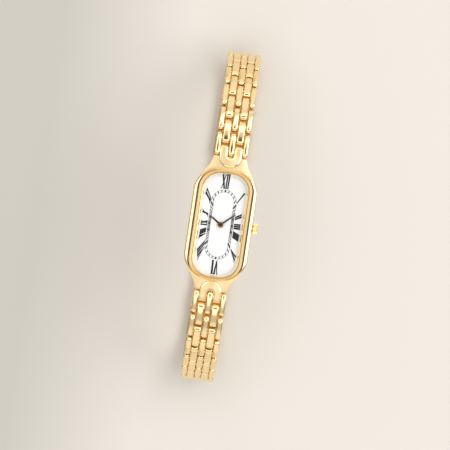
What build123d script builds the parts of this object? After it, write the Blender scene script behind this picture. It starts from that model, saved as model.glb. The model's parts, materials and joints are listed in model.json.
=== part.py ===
from build123d import *
from math import atan2, cos, degrees, pi, radians, sin, sqrt
import os

# An oblong bracelet watch, closed into its loop and standing on its clasp.
# Millimetres. +X is 3 o'clock, +Y is 12 o'clock and +Z leaves the dial.
# The origin is on the clasp's flat underside, below the hands.

os.makedirs("parts", exist_ok=True)

# Bracelet: five columns of bricks, every second one half a brick further on
brick_width = 1.36
column_gap = 0.09
half_pitch = 2.75
brick_gap = 0.5
brick_depth = 0.9
round_brick_height = 0.9
round_brick_bevel = 0.34
flat_brick_height = 0.74
end_facet_angle = 20
pin_radius = 0.3
pin_clearance = 0.03
pin_sides = 6

# Loop: the way each row points, in degrees below the level of the case
upper_bend = [8, 12, 17, 26, 35, 45, 53, 61, 69, 77, 85, 96, 110, 131, 152]
lower_bend = [8, 12, 18, 29, 41, 50, 57, 61, 64, 69, 80, 97, 117, 136, 155]
upper_headings = upper_bend + [170, 176, 178, 181, 182, 183]
lower_headings = lower_bend + [170, 176, 181, 183]

# Case: heights are measured from the line of the bracelet's first pins
case_width = 13.7
case_length = 24.2
case_corner_radius = 4.6
case_end_radius = 9.0
case_top = 1.4
case_bottom = -1.6
case_bevel = 0.32
cavity_margin = 0.25
corner_facets = 3

# Shoulders and horn-shaped end links, which reach out from the ends of the case
shoulder_root_half_width = 5.5
shoulder_waist_half_width = 4.45
shoulder_waist_reach = 0.1
shoulder_hollow = 0.12
shoulder_reach = 2.4
shoulder_top = 1.15
shoulder_end_height = 0.85
shoulder_end_depth = 1.1
first_pin_reach = 3.65
horn_reach = 0.2
horn_band = 1.9
horn_height = 1.1
horn_depth = 0.7
horn_bevel = 0.22

# Bezel and crystal: the bezel stands back from the case's edge, and its rim frames the opening
bezel_side_step = 0.77
bezel_end_step = 0.3
rim_side_width = 1.13
rim_end_width = 0.75
opening_corner_radius = 3.7
opening_end_radius = 9.0
crystal_bottom = 2.3
crystal_thickness = 1.0
crystal_bevel = 0.45
crystal_clearance = 0.03
crystal_ledge = 0.2
crystal_gasket_width = 0.15
crystal_gasket_thickness = 0.1
bezel_corner_radius = 4.2
bezel_end_radius = 9.4
bezel_top = 2.9
bezel_outer_bevel = 0.44
bezel_inner_bevel = 0.24

# Dial
dial_thickness = 0.4
dial_clearance = 0.08

# Case back
back_margin = 0.55
back_thickness = 0.5
back_bevel = 0.25
back_plug_height = 0.35
back_gasket_width = 0.3
back_gasket_height = 0.25

# Movement and its spacer ring: the movement stands back from the opening, 9.4 by 15.0
movement_side_margin = 0.25
movement_end_margin = 3.55
movement_corner = 1.6
movement_height = 2.2
movement_clearance = 0.05
ring_clearance = 0.05
battery_thickness = 1.65
battery_margin = 0.5
battery_post_gap = 1.2
battery_clearance = 0.05
coil_radius = 0.75
coil_core_margin = 0.5
coil_core_end = 0.7
coil_core_width = 1.2
coil_core_thickness = 0.5
coil_end_margin = 1.9
coil_height = -0.1
coil_clearance = 0.05

# Crown, stem and setting lever, along the 3 o'clock axis
crown_height = -0.1
crown_radius = 1.15
crown_length = 1.15
crown_flutes = 16
crown_flute_depth = 0.14
crown_gap = 0.12
crown_travel = 0.8
crown_recess_depth = 0.62
tube_radius = 0.72
tube_wall = 0.26
tube_overhang = 0.5
stem_radius = 0.36
stem_thread_length = 0.35
stem_clearance = 0.06
stem_tail = 0.6
lever_setback = 2.1
lever_length = 0.6
lever_width = 1.6
lever_depth = 0.75
lever_clearance = 0.06

# Hands
minute_reading = 8
hour_reading = 10
hour_hand_length = 2.55
hour_hand_width = 0.36
hour_hand_tip_width = 0.2
hour_hand_bottom = 1.52
minute_hand_length = 3.8
minute_hand_width = 0.32
minute_hand_tip_width = 0.16
minute_hand_bottom = 1.76
hand_thickness = 0.12
hand_tail = 0.85
hub_radius = 0.62
hub_height = 0.14
hour_tube_radius = 0.42
minute_post_radius = 0.24
post_clearance = 0.05
post_depth = 1.3
tube_depth = 0.9

# Clasp: heights are measured from the flat underside
clasp_pin_height = 1.5
cover_floor = 0.5
cover_wall = 0.48
cover_height = 1.85
base_clearance = 0.1
base_bottom = 1.2
base_top = 2.0
rib_width = 0.5
end_clearance = 0.2
finger_root = 0.8
seat_clearance = 0.3
seat_mouth_angle = 45
cover_hinge_setback = 2.9
cover_hinge_height = 0.95
cover_hinge_radius = 0.35
cover_hinge_clearance = 0.03
cover_floor_setback = 1.2

# One overrun for every cut that runs out of its piece
overrun = 1.0

# Small pins, tubes and bores have flat sides, to keep the many pieces light
small_sides = 12

# Worked out from the sizes above
column_pitch = brick_width + column_gap
round_columns = (-2, 0, 2)
flat_columns = (-1, 1)
bracelet_half_width = 2 * column_pitch + brick_width / 2
end_radius = (half_pitch - brick_gap) / 2
facet_radius = end_radius / cos(radians(end_facet_angle))
bore_radius = pin_radius + pin_clearance
bezel_width = case_width - 2 * bezel_side_step
bezel_length = case_length - 2 * bezel_end_step
opening_width = bezel_width - 2 * rim_side_width
opening_length = bezel_length - 2 * rim_end_width
case_end_y = case_length / 2
shoulder_waist_y = case_end_y + shoulder_waist_reach
shoulder_end_y = case_end_y + shoulder_reach
first_pin_y = case_end_y + first_pin_reach
horn_reach_y = case_end_y + horn_reach
horn_notch_y = horn_reach_y + horn_band
movement_width = opening_width - 2 * movement_side_margin
movement_length = opening_length - 2 * movement_end_margin
battery_diameter = movement_length / 2 - battery_margin - battery_post_gap
battery_y = battery_diameter / 2 + battery_margin - movement_length / 2
coil_core_length = movement_width - 2 * coil_core_margin
coil_length = coil_core_length - 2 * coil_core_end
coil_y = movement_length / 2 - coil_end_margin
lever_x = movement_width / 2 - lever_setback
stem_inner_x = lever_x - stem_tail
pin_line = clasp_pin_height + half_pitch * sum(sin(radians(a)) for a in lower_headings)
lower_end_y = -first_pin_y - half_pitch * sum(cos(radians(a)) for a in lower_headings)
upper_end_y = first_pin_y + half_pitch * sum(cos(radians(a)) for a in upper_headings)
crystal_seat_growth = 2 * crystal_clearance
cavity_growth = 2 * cavity_margin
dial_top = case_top
dial_bottom = dial_top - dial_thickness
movement_bottom = dial_bottom - movement_height
crystal_seat = crystal_bottom - crystal_gasket_thickness
crown_x = case_width / 2 + crown_gap
tube_bore = tube_radius - tube_wall
minute_angle = 6 * minute_reading
hour_angle = 30 * hour_reading + minute_reading / 2


def oblong(width, length, corner_radius, wide_radius):
    """Straight sides run by small corner arcs into wide end arcs, all tangent."""
    corner_x = width / 2 - corner_radius
    wide_y = length / 2 - wide_radius
    corner_y = wide_y + sqrt((wide_radius - corner_radius) ** 2 - corner_x**2)
    turn = degrees(atan2(corner_y - wide_y, corner_x))
    with BuildSketch() as shape:
        with BuildLine():
            Line((width / 2, -corner_y), (width / 2, corner_y))
            CenterArc((corner_x, corner_y), corner_radius, 0, turn)
            CenterArc((0, wide_y), wide_radius, turn, 180 - 2 * turn)
            CenterArc((-corner_x, corner_y), corner_radius, 180 - turn, turn)
            Line((-width / 2, corner_y), (-width / 2, -corner_y))
            CenterArc((-corner_x, -corner_y), corner_radius, 180, turn)
            CenterArc((0, -wide_y), wide_radius, 180 + turn, 180 - 2 * turn)
            CenterArc((corner_x, -corner_y), corner_radius, -turn, turn)
        make_face()
    return shape.sketch


def opening(growth):
    """The crystal's outline, grown all round by half of growth."""
    return oblong(
        opening_width + growth,
        opening_length + growth,
        opening_corner_radius + growth / 2,
        opening_end_radius + growth / 2,
    )


def faceted_opening(growth):
    """The same outline in straight facets, for the pieces that nobody sees."""
    corner_radius = opening_corner_radius + growth / 2
    corner_x = opening_width / 2 - opening_corner_radius
    wide_y = opening_length / 2 - opening_end_radius
    corner_y = wide_y + sqrt((opening_end_radius - opening_corner_radius) ** 2 - corner_x**2)
    turn = atan2(corner_y - wide_y, corner_x) / corner_facets
    quarter = [
        (corner_x + corner_radius * cos(turn * n), corner_y + corner_radius * sin(turn * n))
        for n in range(corner_facets + 1)
    ]
    half = quarter + [(0, (opening_length + growth) / 2)] + [(-x, y) for x, y in reversed(quarter)]
    with BuildSketch() as shape:
        with BuildLine():
            Polyline(half + [(-x, -y) for x, y in half], close=True)
        make_face()
    return shape.sketch


def plate_outline(width, length):
    """The movement's oblong with its corners cut off."""
    with BuildSketch() as shape:
        Rectangle(width, length)
        chamfer(shape.vertices(), length=movement_corner)
    return shape.sketch


def case_level(height):
    """A level plane at a height above the line of the first pins."""
    return Plane.XY.offset(pin_line + height)


def crown_station(x):
    """A plane across the crown's axis, at a distance from the hands."""
    return Plane(origin=(x, 0, pin_line + crown_height), x_dir=(0, 1, 0), z_dir=(1, 0, 0))


def brick_outline(near_y, far_y, height, depth):
    """A brick from the side, its ends faceted round the pins at near_y and far_y."""
    facet_rise = facet_radius * sin(radians(end_facet_angle))
    upper_run = sqrt(facet_radius**2 - height**2)
    lower_run = sqrt(facet_radius**2 - depth**2)
    return [
        (far_y + upper_run, height),
        (far_y + end_radius, facet_rise),
        (far_y + end_radius, -facet_rise),
        (far_y + lower_run, -depth),
        (near_y - lower_run, -depth),
        (near_y - end_radius, -facet_rise),
        (near_y - end_radius, facet_rise),
        (near_y - upper_run, height),
    ]


def bricks(columns, height):
    """The bricks of one row, running +Y from the pin at the origin, with the crown up."""
    with BuildPart() as row:
        for column in columns:
            with BuildSketch(Plane.YZ.offset(column * column_pitch)):
                with BuildLine():
                    Polyline(brick_outline(0, half_pitch, height, brick_depth), close=True)
                make_face()
            extrude(amount=brick_width / 2, both=True)
    return row.part


def row_planes(side, headings):
    """Each row's own plane, from the case to the clasp: side is 1 at 12 o'clock, -1 at 6."""
    planes = []
    y, z = side * first_pin_y, pin_line
    for heading in headings:
        down = radians(heading)
        outward = (0, side * sin(down), cos(down))
        planes.append(Plane(origin=(0, y, z), x_dir=(side, 0, 0), z_dir=outward))
        y += side * half_pitch * cos(down)
        z -= half_pitch * sin(down)
    return planes


def hand_outline(length, width, tip_width):
    """A baton hand pointing +Y, with a short tail behind the axis."""
    return [
        (width / 2, -hand_tail),
        (width / 2, 0),
        (tip_width / 2, length),
        (-tip_width / 2, length),
        (-width / 2, 0),
        (-width / 2, -hand_tail),
    ]


def save(piece, name):
    """Label a piece and write it."""
    piece.label = name
    export_step(piece, f"parts/{name}.step")


# Rows of the bracelet. A round row carries its two pins, a flat row turns on them.
with BuildPart() as round_row:
    add(bricks(round_columns, round_brick_height))
    crowns = round_row.faces().filter_by(Axis.Z).group_by(Axis.Z)[-1]
    chamfer(crowns.edges(), length=round_brick_bevel)
    with BuildSketch(Plane.YZ):
        with Locations((0, 0), (half_pitch, 0)):
            RegularPolygon(pin_radius, pin_sides)
    extrude(amount=2 * column_pitch, both=True)

with BuildPart() as flat_row:
    add(bricks(flat_columns, flat_brick_height))
    with BuildSketch(Plane.YZ):
        with Locations((0, 0), (half_pitch, 0)):
            RegularPolygon(bore_radius, pin_sides, major_radius=False)
    extrude(amount=2 * column_pitch, both=True, mode=Mode.SUBTRACT)

for half, side, headings in (("upper", 1, upper_headings), ("lower", -1, lower_headings)):
    for number, plane in enumerate(row_planes(side, headings), start=1):
        master = round_row if number % 2 else flat_row
        save(master.part.moved(plane.location), f"{half}_row_{number:02d}")

# Horn-shaped end links: a raised U whose two prongs are the flat columns
horn_half_width = column_pitch + brick_width / 2
horn_inner_half_width = column_pitch - brick_width / 2
horn_arc_y = horn_reach_y + horn_half_width
notch_arc_y = horn_notch_y + horn_inner_half_width
prong_end_y = first_pin_y + overrun
with BuildPart() as horn:
    with BuildSketch(case_level(-horn_depth)):
        with BuildLine():
            Line((horn_half_width, prong_end_y), (horn_half_width, horn_arc_y))
            CenterArc((0, horn_arc_y), horn_half_width, 0, -180)
            Line((-horn_half_width, horn_arc_y), (-horn_half_width, prong_end_y))
            Line((-horn_half_width, prong_end_y), (-horn_inner_half_width, prong_end_y))
            Line((-horn_inner_half_width, prong_end_y), (-horn_inner_half_width, notch_arc_y))
            CenterArc((0, notch_arc_y), horn_inner_half_width, 180, 180)
            Line((horn_inner_half_width, notch_arc_y), (horn_inner_half_width, prong_end_y))
            Line((horn_inner_half_width, prong_end_y), (horn_half_width, prong_end_y))
        make_face()
    extrude(amount=horn_depth + horn_height)
    chamfer(horn.faces().sort_by(Axis.Z)[-1].edges(), length=horn_bevel)
    side_view = brick_outline(horn_reach_y, first_pin_y, flat_brick_height, horn_depth)
    with BuildSketch(Plane.YZ):
        with BuildLine():
            Polyline(
                [(y, pin_line + z) for y, z in side_view[:4]]
                + [
                    (horn_reach_y - overrun, pin_line - horn_depth),
                    (horn_reach_y - overrun, pin_line + horn_height),
                    (shoulder_end_y, pin_line + horn_height),
                ],
                close=True,
            )
        make_face()
    extrude(amount=case_width / 2, both=True, mode=Mode.INTERSECT)
    with BuildSketch(Plane.YZ):
        with Locations((first_pin_y, pin_line)):
            RegularPolygon(bore_radius, pin_sides, major_radius=False)
    extrude(amount=2 * column_pitch, both=True, mode=Mode.SUBTRACT)

with BuildPart() as end_links:
    add(horn.part)
    add(horn.part.mirror(Plane.XZ))
save(end_links.part, "end_links")

# One shoulder of the case, at 12 o'clock, with the pocket that the horn sits in
with BuildPart() as shoulder:
    with BuildSketch(case_level(case_bottom)):
        with BuildLine():
            waist = (shoulder_waist_half_width, shoulder_waist_y)
            tip = (bracelet_half_width, shoulder_end_y)
            root_y = horn_reach_y - horn_half_width
            middle = (
                (waist[0] + tip[0]) / 2 - shoulder_hollow,
                (waist[1] + tip[1]) / 2 - shoulder_hollow,
            )
            Line((0, 0), (shoulder_root_half_width, 0))
            Line((shoulder_root_half_width, 0), (shoulder_root_half_width, root_y))
            Line((shoulder_root_half_width, root_y), waist)
            ThreePointArc(waist, middle, tip)
            Line(tip, (0, shoulder_end_y))
            mirror(about=Plane.YZ)
        make_face()
    extrude(amount=case_top - case_bottom)
    with BuildSketch(Plane.YZ):
        with BuildLine():
            Polyline(
                (0, pin_line + case_bottom),
                (0, pin_line + shoulder_top),
                (shoulder_waist_y - overrun, pin_line + shoulder_top),
                (shoulder_end_y, pin_line + shoulder_end_height),
                (shoulder_end_y, pin_line - shoulder_end_depth),
                (shoulder_waist_y - overrun, pin_line + case_bottom),
                close=True,
            )
        make_face()
    extrude(amount=case_width / 2, both=True, mode=Mode.INTERSECT)

# Case: a ring of gold with two shoulders, open above and below
with BuildPart() as case:
    with BuildSketch(case_level(case_bottom)):
        add(oblong(case_width, case_length, case_corner_radius, case_end_radius))
    extrude(amount=case_top - case_bottom)
    chamfer(case.faces().sort_by(Axis.Z)[-1].edges(), length=case_bevel)
    add(shoulder.part)
    add(shoulder.part.mirror(Plane.XZ))
    add(horn.part, mode=Mode.SUBTRACT)
    add(horn.part.mirror(Plane.XZ), mode=Mode.SUBTRACT)
    with BuildSketch(case_level(case_bottom - overrun)):
        add(faceted_opening(cavity_growth))
    extrude(amount=case_top - case_bottom + 2 * overrun, mode=Mode.SUBTRACT)
    with BuildSketch(crown_station(0)):
        RegularPolygon(tube_radius, small_sides)
    extrude(amount=case_width, mode=Mode.SUBTRACT)
save(case.part, "case")

# Bezel: stepped ring with a ledge that the crystal rests on
with BuildPart() as bezel:
    with BuildSketch(case_level(case_top)):
        add(oblong(bezel_width, bezel_length, bezel_corner_radius, bezel_end_radius))
    extrude(amount=bezel_top - case_top)
    chamfer(bezel.faces().sort_by(Axis.Z)[-1].edges(), length=bezel_outer_bevel)
    with BuildSketch(case_level(crystal_seat)):
        add(opening(crystal_seat_growth))
    extrude(amount=bezel_top - crystal_seat + overrun, mode=Mode.SUBTRACT)
    rim = bezel.faces().filter_by(Axis.Z).sort_by(Axis.Z)[-1]
    chamfer(rim.inner_wires()[0].edges(), length=bezel_inner_bevel)
    with BuildSketch(case_level(case_top - overrun)):
        add(faceted_opening(-2 * crystal_ledge))
    extrude(amount=bezel_top - case_top + 2 * overrun, mode=Mode.SUBTRACT)
save(bezel.part, "bezel")

# Crystal, with a bevelled upper edge, and the gasket under it
with BuildPart() as crystal:
    with BuildSketch(case_level(crystal_bottom)):
        add(opening(0))
    extrude(amount=crystal_thickness)
    chamfer(crystal.faces().sort_by(Axis.Z)[-1].edges(), length=crystal_bevel)
save(crystal.part, "crystal")

with BuildPart() as crystal_gasket:
    with BuildSketch(case_level(crystal_seat)):
        add(faceted_opening(0))
        add(faceted_opening(-2 * crystal_gasket_width), mode=Mode.SUBTRACT)
    extrude(amount=crystal_gasket_thickness)
save(crystal_gasket.part, "crystal_gasket")

# Dial, with a hole for the hands
with BuildPart() as dial:
    with BuildSketch(case_level(dial_bottom)):
        add(faceted_opening(cavity_growth - 2 * dial_clearance))
        RegularPolygon(hour_tube_radius + dial_clearance, small_sides, mode=Mode.SUBTRACT)
    extrude(amount=dial_thickness)
save(dial.part, "dial")

# Case back: a plate with a plug inside the case, and the gasket round the plug
back_growth = 2 * back_margin
plug_growth = cavity_growth - 2 * back_gasket_width
with BuildPart() as case_back:
    with BuildSketch(case_level(case_bottom - back_thickness)):
        add(
            oblong(
                case_width - back_growth,
                case_length - back_growth,
                case_corner_radius - back_growth / 2,
                case_end_radius - back_growth / 2,
            )
        )
    extrude(amount=back_thickness)
    chamfer(case_back.faces().sort_by(Axis.Z)[0].edges(), length=back_bevel)
    with BuildSketch(case_level(case_bottom)):
        add(faceted_opening(plug_growth))
    extrude(amount=back_plug_height)
save(case_back.part, "case_back")

with BuildPart() as case_back_gasket:
    with BuildSketch(case_level(case_bottom)):
        add(faceted_opening(cavity_growth))
        add(faceted_opening(plug_growth), mode=Mode.SUBTRACT)
    extrude(amount=back_gasket_height)
save(case_back_gasket.part, "case_back_gasket")

# Movement: plate with its pockets, and the coil on its core
lever_pocket_half_width = lever_width / 2 + lever_clearance
with BuildPart() as movement_plate:
    with BuildSketch(case_level(movement_bottom)):
        add(plate_outline(movement_width, movement_length))
    extrude(amount=movement_height)
    with BuildSketch(case_level(movement_bottom)):
        with Locations((0, battery_y)):
            Circle(battery_diameter / 2 + battery_clearance)
    extrude(amount=battery_thickness + battery_clearance, mode=Mode.SUBTRACT)
    with BuildSketch(case_level(dial_bottom)):
        RegularPolygon(hour_tube_radius + dial_clearance, small_sides)
    extrude(amount=-post_depth, mode=Mode.SUBTRACT)
    with BuildSketch(case_level(movement_bottom)):
        with Locations((0, coil_y)):
            Rectangle(coil_core_length + 2 * coil_clearance, 2 * (coil_radius + coil_clearance))
    extrude(amount=coil_height + coil_radius + coil_clearance - movement_bottom, mode=Mode.SUBTRACT)
    with BuildSketch(crown_station(lever_x - lever_clearance)):
        Rectangle(2 * lever_pocket_half_width, 2 * (lever_depth + lever_clearance))
    extrude(amount=lever_length + crown_travel + 2 * lever_clearance, mode=Mode.SUBTRACT)
    with BuildSketch(crown_station(stem_inner_x - lever_clearance)):
        RegularPolygon(stem_radius + stem_clearance, small_sides)
    extrude(amount=movement_width, mode=Mode.SUBTRACT)

with BuildPart() as coil:
    with BuildSketch(Plane.YZ.offset(-coil_length / 2)):
        with Locations((coil_y, pin_line + coil_height)):
            RegularPolygon(coil_radius, small_sides)
    extrude(amount=coil_length)
    with BuildSketch(Plane.YZ.offset(-coil_core_length / 2)):
        with Locations((coil_y, pin_line + coil_height)):
            Rectangle(coil_core_width, coil_core_thickness)
    extrude(amount=coil_core_length)

with BuildPart() as movement:
    add(movement_plate.part)
    add(coil.part)
save(movement.part, "movement")

with BuildPart() as battery:
    with BuildSketch(case_level(movement_bottom)):
        with Locations((0, battery_y)):
            Circle(battery_diameter / 2)
    extrude(amount=battery_thickness)
save(battery.part, "battery")

with BuildPart() as movement_ring:
    with BuildSketch(case_level(movement_bottom)):
        add(faceted_opening(cavity_growth - 2 * ring_clearance))
        add(
            plate_outline(
                movement_width + 2 * movement_clearance,
                movement_length + 2 * movement_clearance,
            ),
            mode=Mode.SUBTRACT,
        )
    extrude(amount=movement_height)
    with BuildSketch(crown_station(0)):
        RegularPolygon(tube_radius + ring_clearance, small_sides)
    extrude(amount=case_width, mode=Mode.SUBTRACT)
save(movement_ring.part, "movement_ring")

# Crown, its tube in the case wall, and the stem that it screws to
cavity_half_width = opening_width / 2 + cavity_margin
with BuildPart() as crown_tube:
    with BuildSketch(crown_station(cavity_half_width - ring_clearance)):
        RegularPolygon(tube_radius, small_sides)
        RegularPolygon(tube_bore, small_sides, mode=Mode.SUBTRACT)
    extrude(amount=crown_x + tube_overhang - cavity_half_width + ring_clearance)
save(crown_tube.part, "crown_tube")

flute_turn = pi / crown_flutes
flute_points = [
    (
        (crown_radius - crown_flute_depth * (n % 2)) * cos(flute_turn * n),
        (crown_radius - crown_flute_depth * (n % 2)) * sin(flute_turn * n),
    )
    for n in range(2 * crown_flutes)
]
with BuildPart() as crown:
    with BuildSketch(crown_station(crown_x)):
        with BuildLine():
            Polyline(flute_points, close=True)
        make_face()
    extrude(amount=crown_length)
    with BuildSketch(crown_station(crown_x)):
        RegularPolygon(tube_radius + stem_clearance, small_sides, major_radius=False)
    extrude(amount=crown_recess_depth, mode=Mode.SUBTRACT)
    with BuildSketch(crown_station(crown_x)):
        RegularPolygon(stem_radius, small_sides)
    extrude(amount=crown_recess_depth + stem_thread_length, mode=Mode.SUBTRACT)
save(crown.part, "crown")

with BuildPart() as winding_stem:
    with BuildSketch(crown_station(stem_inner_x)):
        RegularPolygon(stem_radius, small_sides)
    extrude(amount=crown_x + crown_recess_depth + stem_thread_length - stem_inner_x)
save(winding_stem.part, "winding_stem")

with BuildPart() as setting_lever:
    with BuildSketch(crown_station(lever_x)):
        Rectangle(lever_width, 2 * lever_depth)
        RegularPolygon(stem_radius + stem_clearance, small_sides, mode=Mode.SUBTRACT)
    extrude(amount=lever_length)
save(setting_lever.part, "setting_lever")

# Hands, at eight minutes past ten
with BuildPart() as hour_hand:
    with BuildSketch(case_level(hour_hand_bottom).rotated((0, 0, -hour_angle))):
        with BuildLine():
            Polyline(hand_outline(hour_hand_length, hour_hand_width, hour_hand_tip_width), close=True)
        make_face()
    extrude(amount=hand_thickness)
    with BuildSketch(case_level(dial_bottom - tube_depth)):
        RegularPolygon(hour_tube_radius, small_sides)
    extrude(amount=hour_hand_bottom + hand_thickness - dial_bottom + tube_depth)
    with BuildSketch(case_level(dial_bottom - tube_depth)):
        RegularPolygon(minute_post_radius + post_clearance, small_sides)
    extrude(amount=hour_hand_bottom + hand_thickness - dial_bottom + tube_depth, mode=Mode.SUBTRACT)
save(hour_hand.part, "hour_hand")

with BuildPart() as minute_hand:
    with BuildSketch(case_level(minute_hand_bottom).rotated((0, 0, -minute_angle))):
        with BuildLine():
            Polyline(
                hand_outline(minute_hand_length, minute_hand_width, minute_hand_tip_width), close=True
            )
        make_face()
    extrude(amount=hand_thickness)
    with BuildSketch(case_level(minute_hand_bottom + hand_thickness)):
        Circle(hub_radius)
    extrude(amount=hub_height)
    with BuildSketch(case_level(dial_bottom - post_depth + post_clearance)):
        RegularPolygon(minute_post_radius, small_sides)
    extrude(amount=minute_hand_bottom - dial_bottom + post_depth - post_clearance)
save(minute_hand.part, "minute_hand")

# Clasp base: a plate with two ribs, bored fingers at one end and open seats at the other
cover_inner_half_width = bracelet_half_width - cover_wall
base_half_width = cover_inner_half_width - base_clearance
plate_start_y = lower_end_y + facet_radius + end_clearance
plate_end_y = upper_end_y - facet_radius - end_clearance
cover_hinge_y = upper_end_y - cover_hinge_setback
seat_radius = pin_radius + seat_clearance
seat_lip_y = upper_end_y - seat_radius * cos(radians(seat_mouth_angle))
with BuildPart() as clasp_base:
    with BuildSketch(Plane.XY.offset(cover_floor)):
        with Locations((0, (plate_start_y + plate_end_y) / 2)):
            Rectangle(2 * base_half_width, plate_end_y - plate_start_y)
    extrude(amount=base_top - cover_floor)
    with BuildSketch(Plane.XY.offset(cover_floor)):
        with Locations((0, (plate_start_y + plate_end_y) / 2)):
            Rectangle(2 * (base_half_width - rib_width), plate_end_y - plate_start_y)
    extrude(amount=base_bottom - cover_floor, mode=Mode.SUBTRACT)
    for column in flat_columns:
        with BuildSketch(Plane.YZ.offset(column * column_pitch)):
            with BuildLine():
                hinge_view = brick_outline(lower_end_y, plate_start_y, brick_depth, flat_brick_height)
                Polyline(
                    [(y, clasp_pin_height + z) for y, z in hinge_view[4:]]
                    + [
                        (plate_start_y + finger_root, clasp_pin_height + brick_depth),
                        (plate_start_y + finger_root, clasp_pin_height - flat_brick_height),
                    ],
                    close=True,
                )
            make_face()
        extrude(amount=brick_width / 2, both=True)
        with BuildSketch(Plane.YZ.offset(column * column_pitch)):
            with BuildLine():
                Polyline(
                    (plate_end_y - finger_root, clasp_pin_height + brick_depth),
                    (seat_lip_y, clasp_pin_height + brick_depth),
                    (seat_lip_y, clasp_pin_height - flat_brick_height),
                    (plate_end_y - finger_root, clasp_pin_height - flat_brick_height),
                    close=True,
                )
            make_face()
        extrude(amount=brick_width / 2, both=True)
    with BuildSketch(Plane.YZ):
        with Locations((lower_end_y, clasp_pin_height)):
            RegularPolygon(bore_radius, pin_sides, major_radius=False)
        with Locations((upper_end_y, clasp_pin_height)):
            Circle(seat_radius)
        with Locations((cover_hinge_y, cover_hinge_height)):
            RegularPolygon(cover_hinge_radius, small_sides)
    extrude(amount=bracelet_half_width, both=True, mode=Mode.SUBTRACT)
save(clasp_base.part, "clasp_base")

with BuildPart() as clasp_hinge_pin:
    with BuildSketch(Plane.YZ):
        with Locations((cover_hinge_y, cover_hinge_height)):
            RegularPolygon(cover_hinge_radius, small_sides)
    extrude(amount=bracelet_half_width, both=True)
save(clasp_hinge_pin.part, "clasp_hinge_pin")

# Clasp cover: a shallow channel that shuts over the base and is what the watch stands on
cover_start_y = plate_start_y
with BuildPart() as clasp_cover:
    with BuildSketch(Plane.YZ):
        with BuildLine():
            Line((cover_start_y, 0), (cover_hinge_y, 0))
            CenterArc((cover_hinge_y, cover_hinge_height), cover_hinge_height, -90, 180)
            Line((cover_hinge_y, 2 * cover_hinge_height), (cover_start_y, 2 * cover_hinge_height))
            Line((cover_start_y, 2 * cover_hinge_height), (cover_start_y, 0))
        make_face()
    extrude(amount=bracelet_half_width, both=True)
    with BuildSketch(Plane.XY.offset(cover_floor)):
        with Locations((0, (cover_start_y + cover_hinge_y) / 2)):
            Rectangle(2 * cover_inner_half_width, cover_hinge_y - cover_start_y + 2 * cover_hinge_height)
    extrude(amount=cover_height + overrun, mode=Mode.SUBTRACT)
    with BuildSketch(Plane.XY):
        with Locations((0, cover_hinge_y)):
            Rectangle(2 * cover_inner_half_width, 2 * cover_floor_setback)
    extrude(amount=cover_height + overrun, mode=Mode.SUBTRACT)
    with BuildSketch(Plane.YZ):
        with Locations((cover_hinge_y, cover_hinge_height)):
            RegularPolygon(cover_hinge_radius + cover_hinge_clearance, small_sides, major_radius=False)
    extrude(amount=bracelet_half_width, both=True, mode=Mode.SUBTRACT)
save(clasp_cover.part, "clasp_cover")
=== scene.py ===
# %% [markdown]
# # An oblong bracelet watch, dressed round its CAD frame
# The CAD model already says where every piece sits and how it turns. This lesson gives the pieces
# that are seen their real look. We load the frame and build each piece in its place.

# %% Load the frame
import json
import random
from contextlib import contextmanager
from math import atan2, cos, pi, radians, sin, sqrt

import bmesh
import bpy
from mathutils import Matrix, Vector
from mathutils.kdtree import KDTree

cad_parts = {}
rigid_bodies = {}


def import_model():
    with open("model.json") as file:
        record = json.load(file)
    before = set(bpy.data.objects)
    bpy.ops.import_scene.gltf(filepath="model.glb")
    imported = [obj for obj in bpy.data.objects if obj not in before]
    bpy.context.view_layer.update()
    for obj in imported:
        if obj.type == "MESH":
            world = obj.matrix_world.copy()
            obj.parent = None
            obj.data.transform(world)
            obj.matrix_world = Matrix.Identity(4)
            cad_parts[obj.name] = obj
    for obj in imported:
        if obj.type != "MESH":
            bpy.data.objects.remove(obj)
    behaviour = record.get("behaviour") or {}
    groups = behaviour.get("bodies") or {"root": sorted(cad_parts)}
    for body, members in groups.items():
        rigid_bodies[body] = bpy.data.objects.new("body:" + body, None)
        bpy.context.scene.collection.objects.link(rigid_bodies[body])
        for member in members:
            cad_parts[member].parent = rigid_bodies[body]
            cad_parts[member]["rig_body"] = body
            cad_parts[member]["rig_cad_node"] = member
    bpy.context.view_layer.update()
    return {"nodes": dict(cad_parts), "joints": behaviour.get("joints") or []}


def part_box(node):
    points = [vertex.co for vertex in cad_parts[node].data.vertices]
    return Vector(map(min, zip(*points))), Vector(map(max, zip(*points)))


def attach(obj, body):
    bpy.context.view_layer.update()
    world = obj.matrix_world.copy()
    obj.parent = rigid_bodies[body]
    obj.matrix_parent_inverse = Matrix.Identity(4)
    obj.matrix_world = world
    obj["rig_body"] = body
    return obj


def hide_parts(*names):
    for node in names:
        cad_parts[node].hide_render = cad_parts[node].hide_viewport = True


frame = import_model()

# %% [markdown]
# ## Sizes that several pieces share
# Everything is written in millimetres and turned into metres when a vertex is placed. Heights are
# measured from the line of the first bracelet pins, which we read from the frame. The bracelet has
# five columns: two flat ones, and three domed ones that are narrower, the outer two most of all.

# %% Shared sizes
MM = 0.001
CASE_BOTTOM = -1.6
CASE_TOP = 1.4
PIN_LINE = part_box("case")[0].z / MM - CASE_BOTTOM
FLAT_WIDTH, FLAT_COLUMN = 1.6, 1.55
MIDDLE_WIDTH = 1.3
OUTER_WIDTH, OUTER_COLUMN = 1.18, 3.01
HALF_PITCH = 2.75
FIRST_PIN_Y = 15.75
print("pin line", round(PIN_LINE, 3))


def high(x, y, height):
    """A point at a height above the pin line, in millimetres of the frame."""
    return (x, y, PIN_LINE + height)


# %% [markdown]
# ## Small helpers for modelling
# An operator works on whatever is selected, and loading the frame left its nodes selected. So every
# piece starts with nothing selected, and what an operator is meant for is then picked in code.

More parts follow.
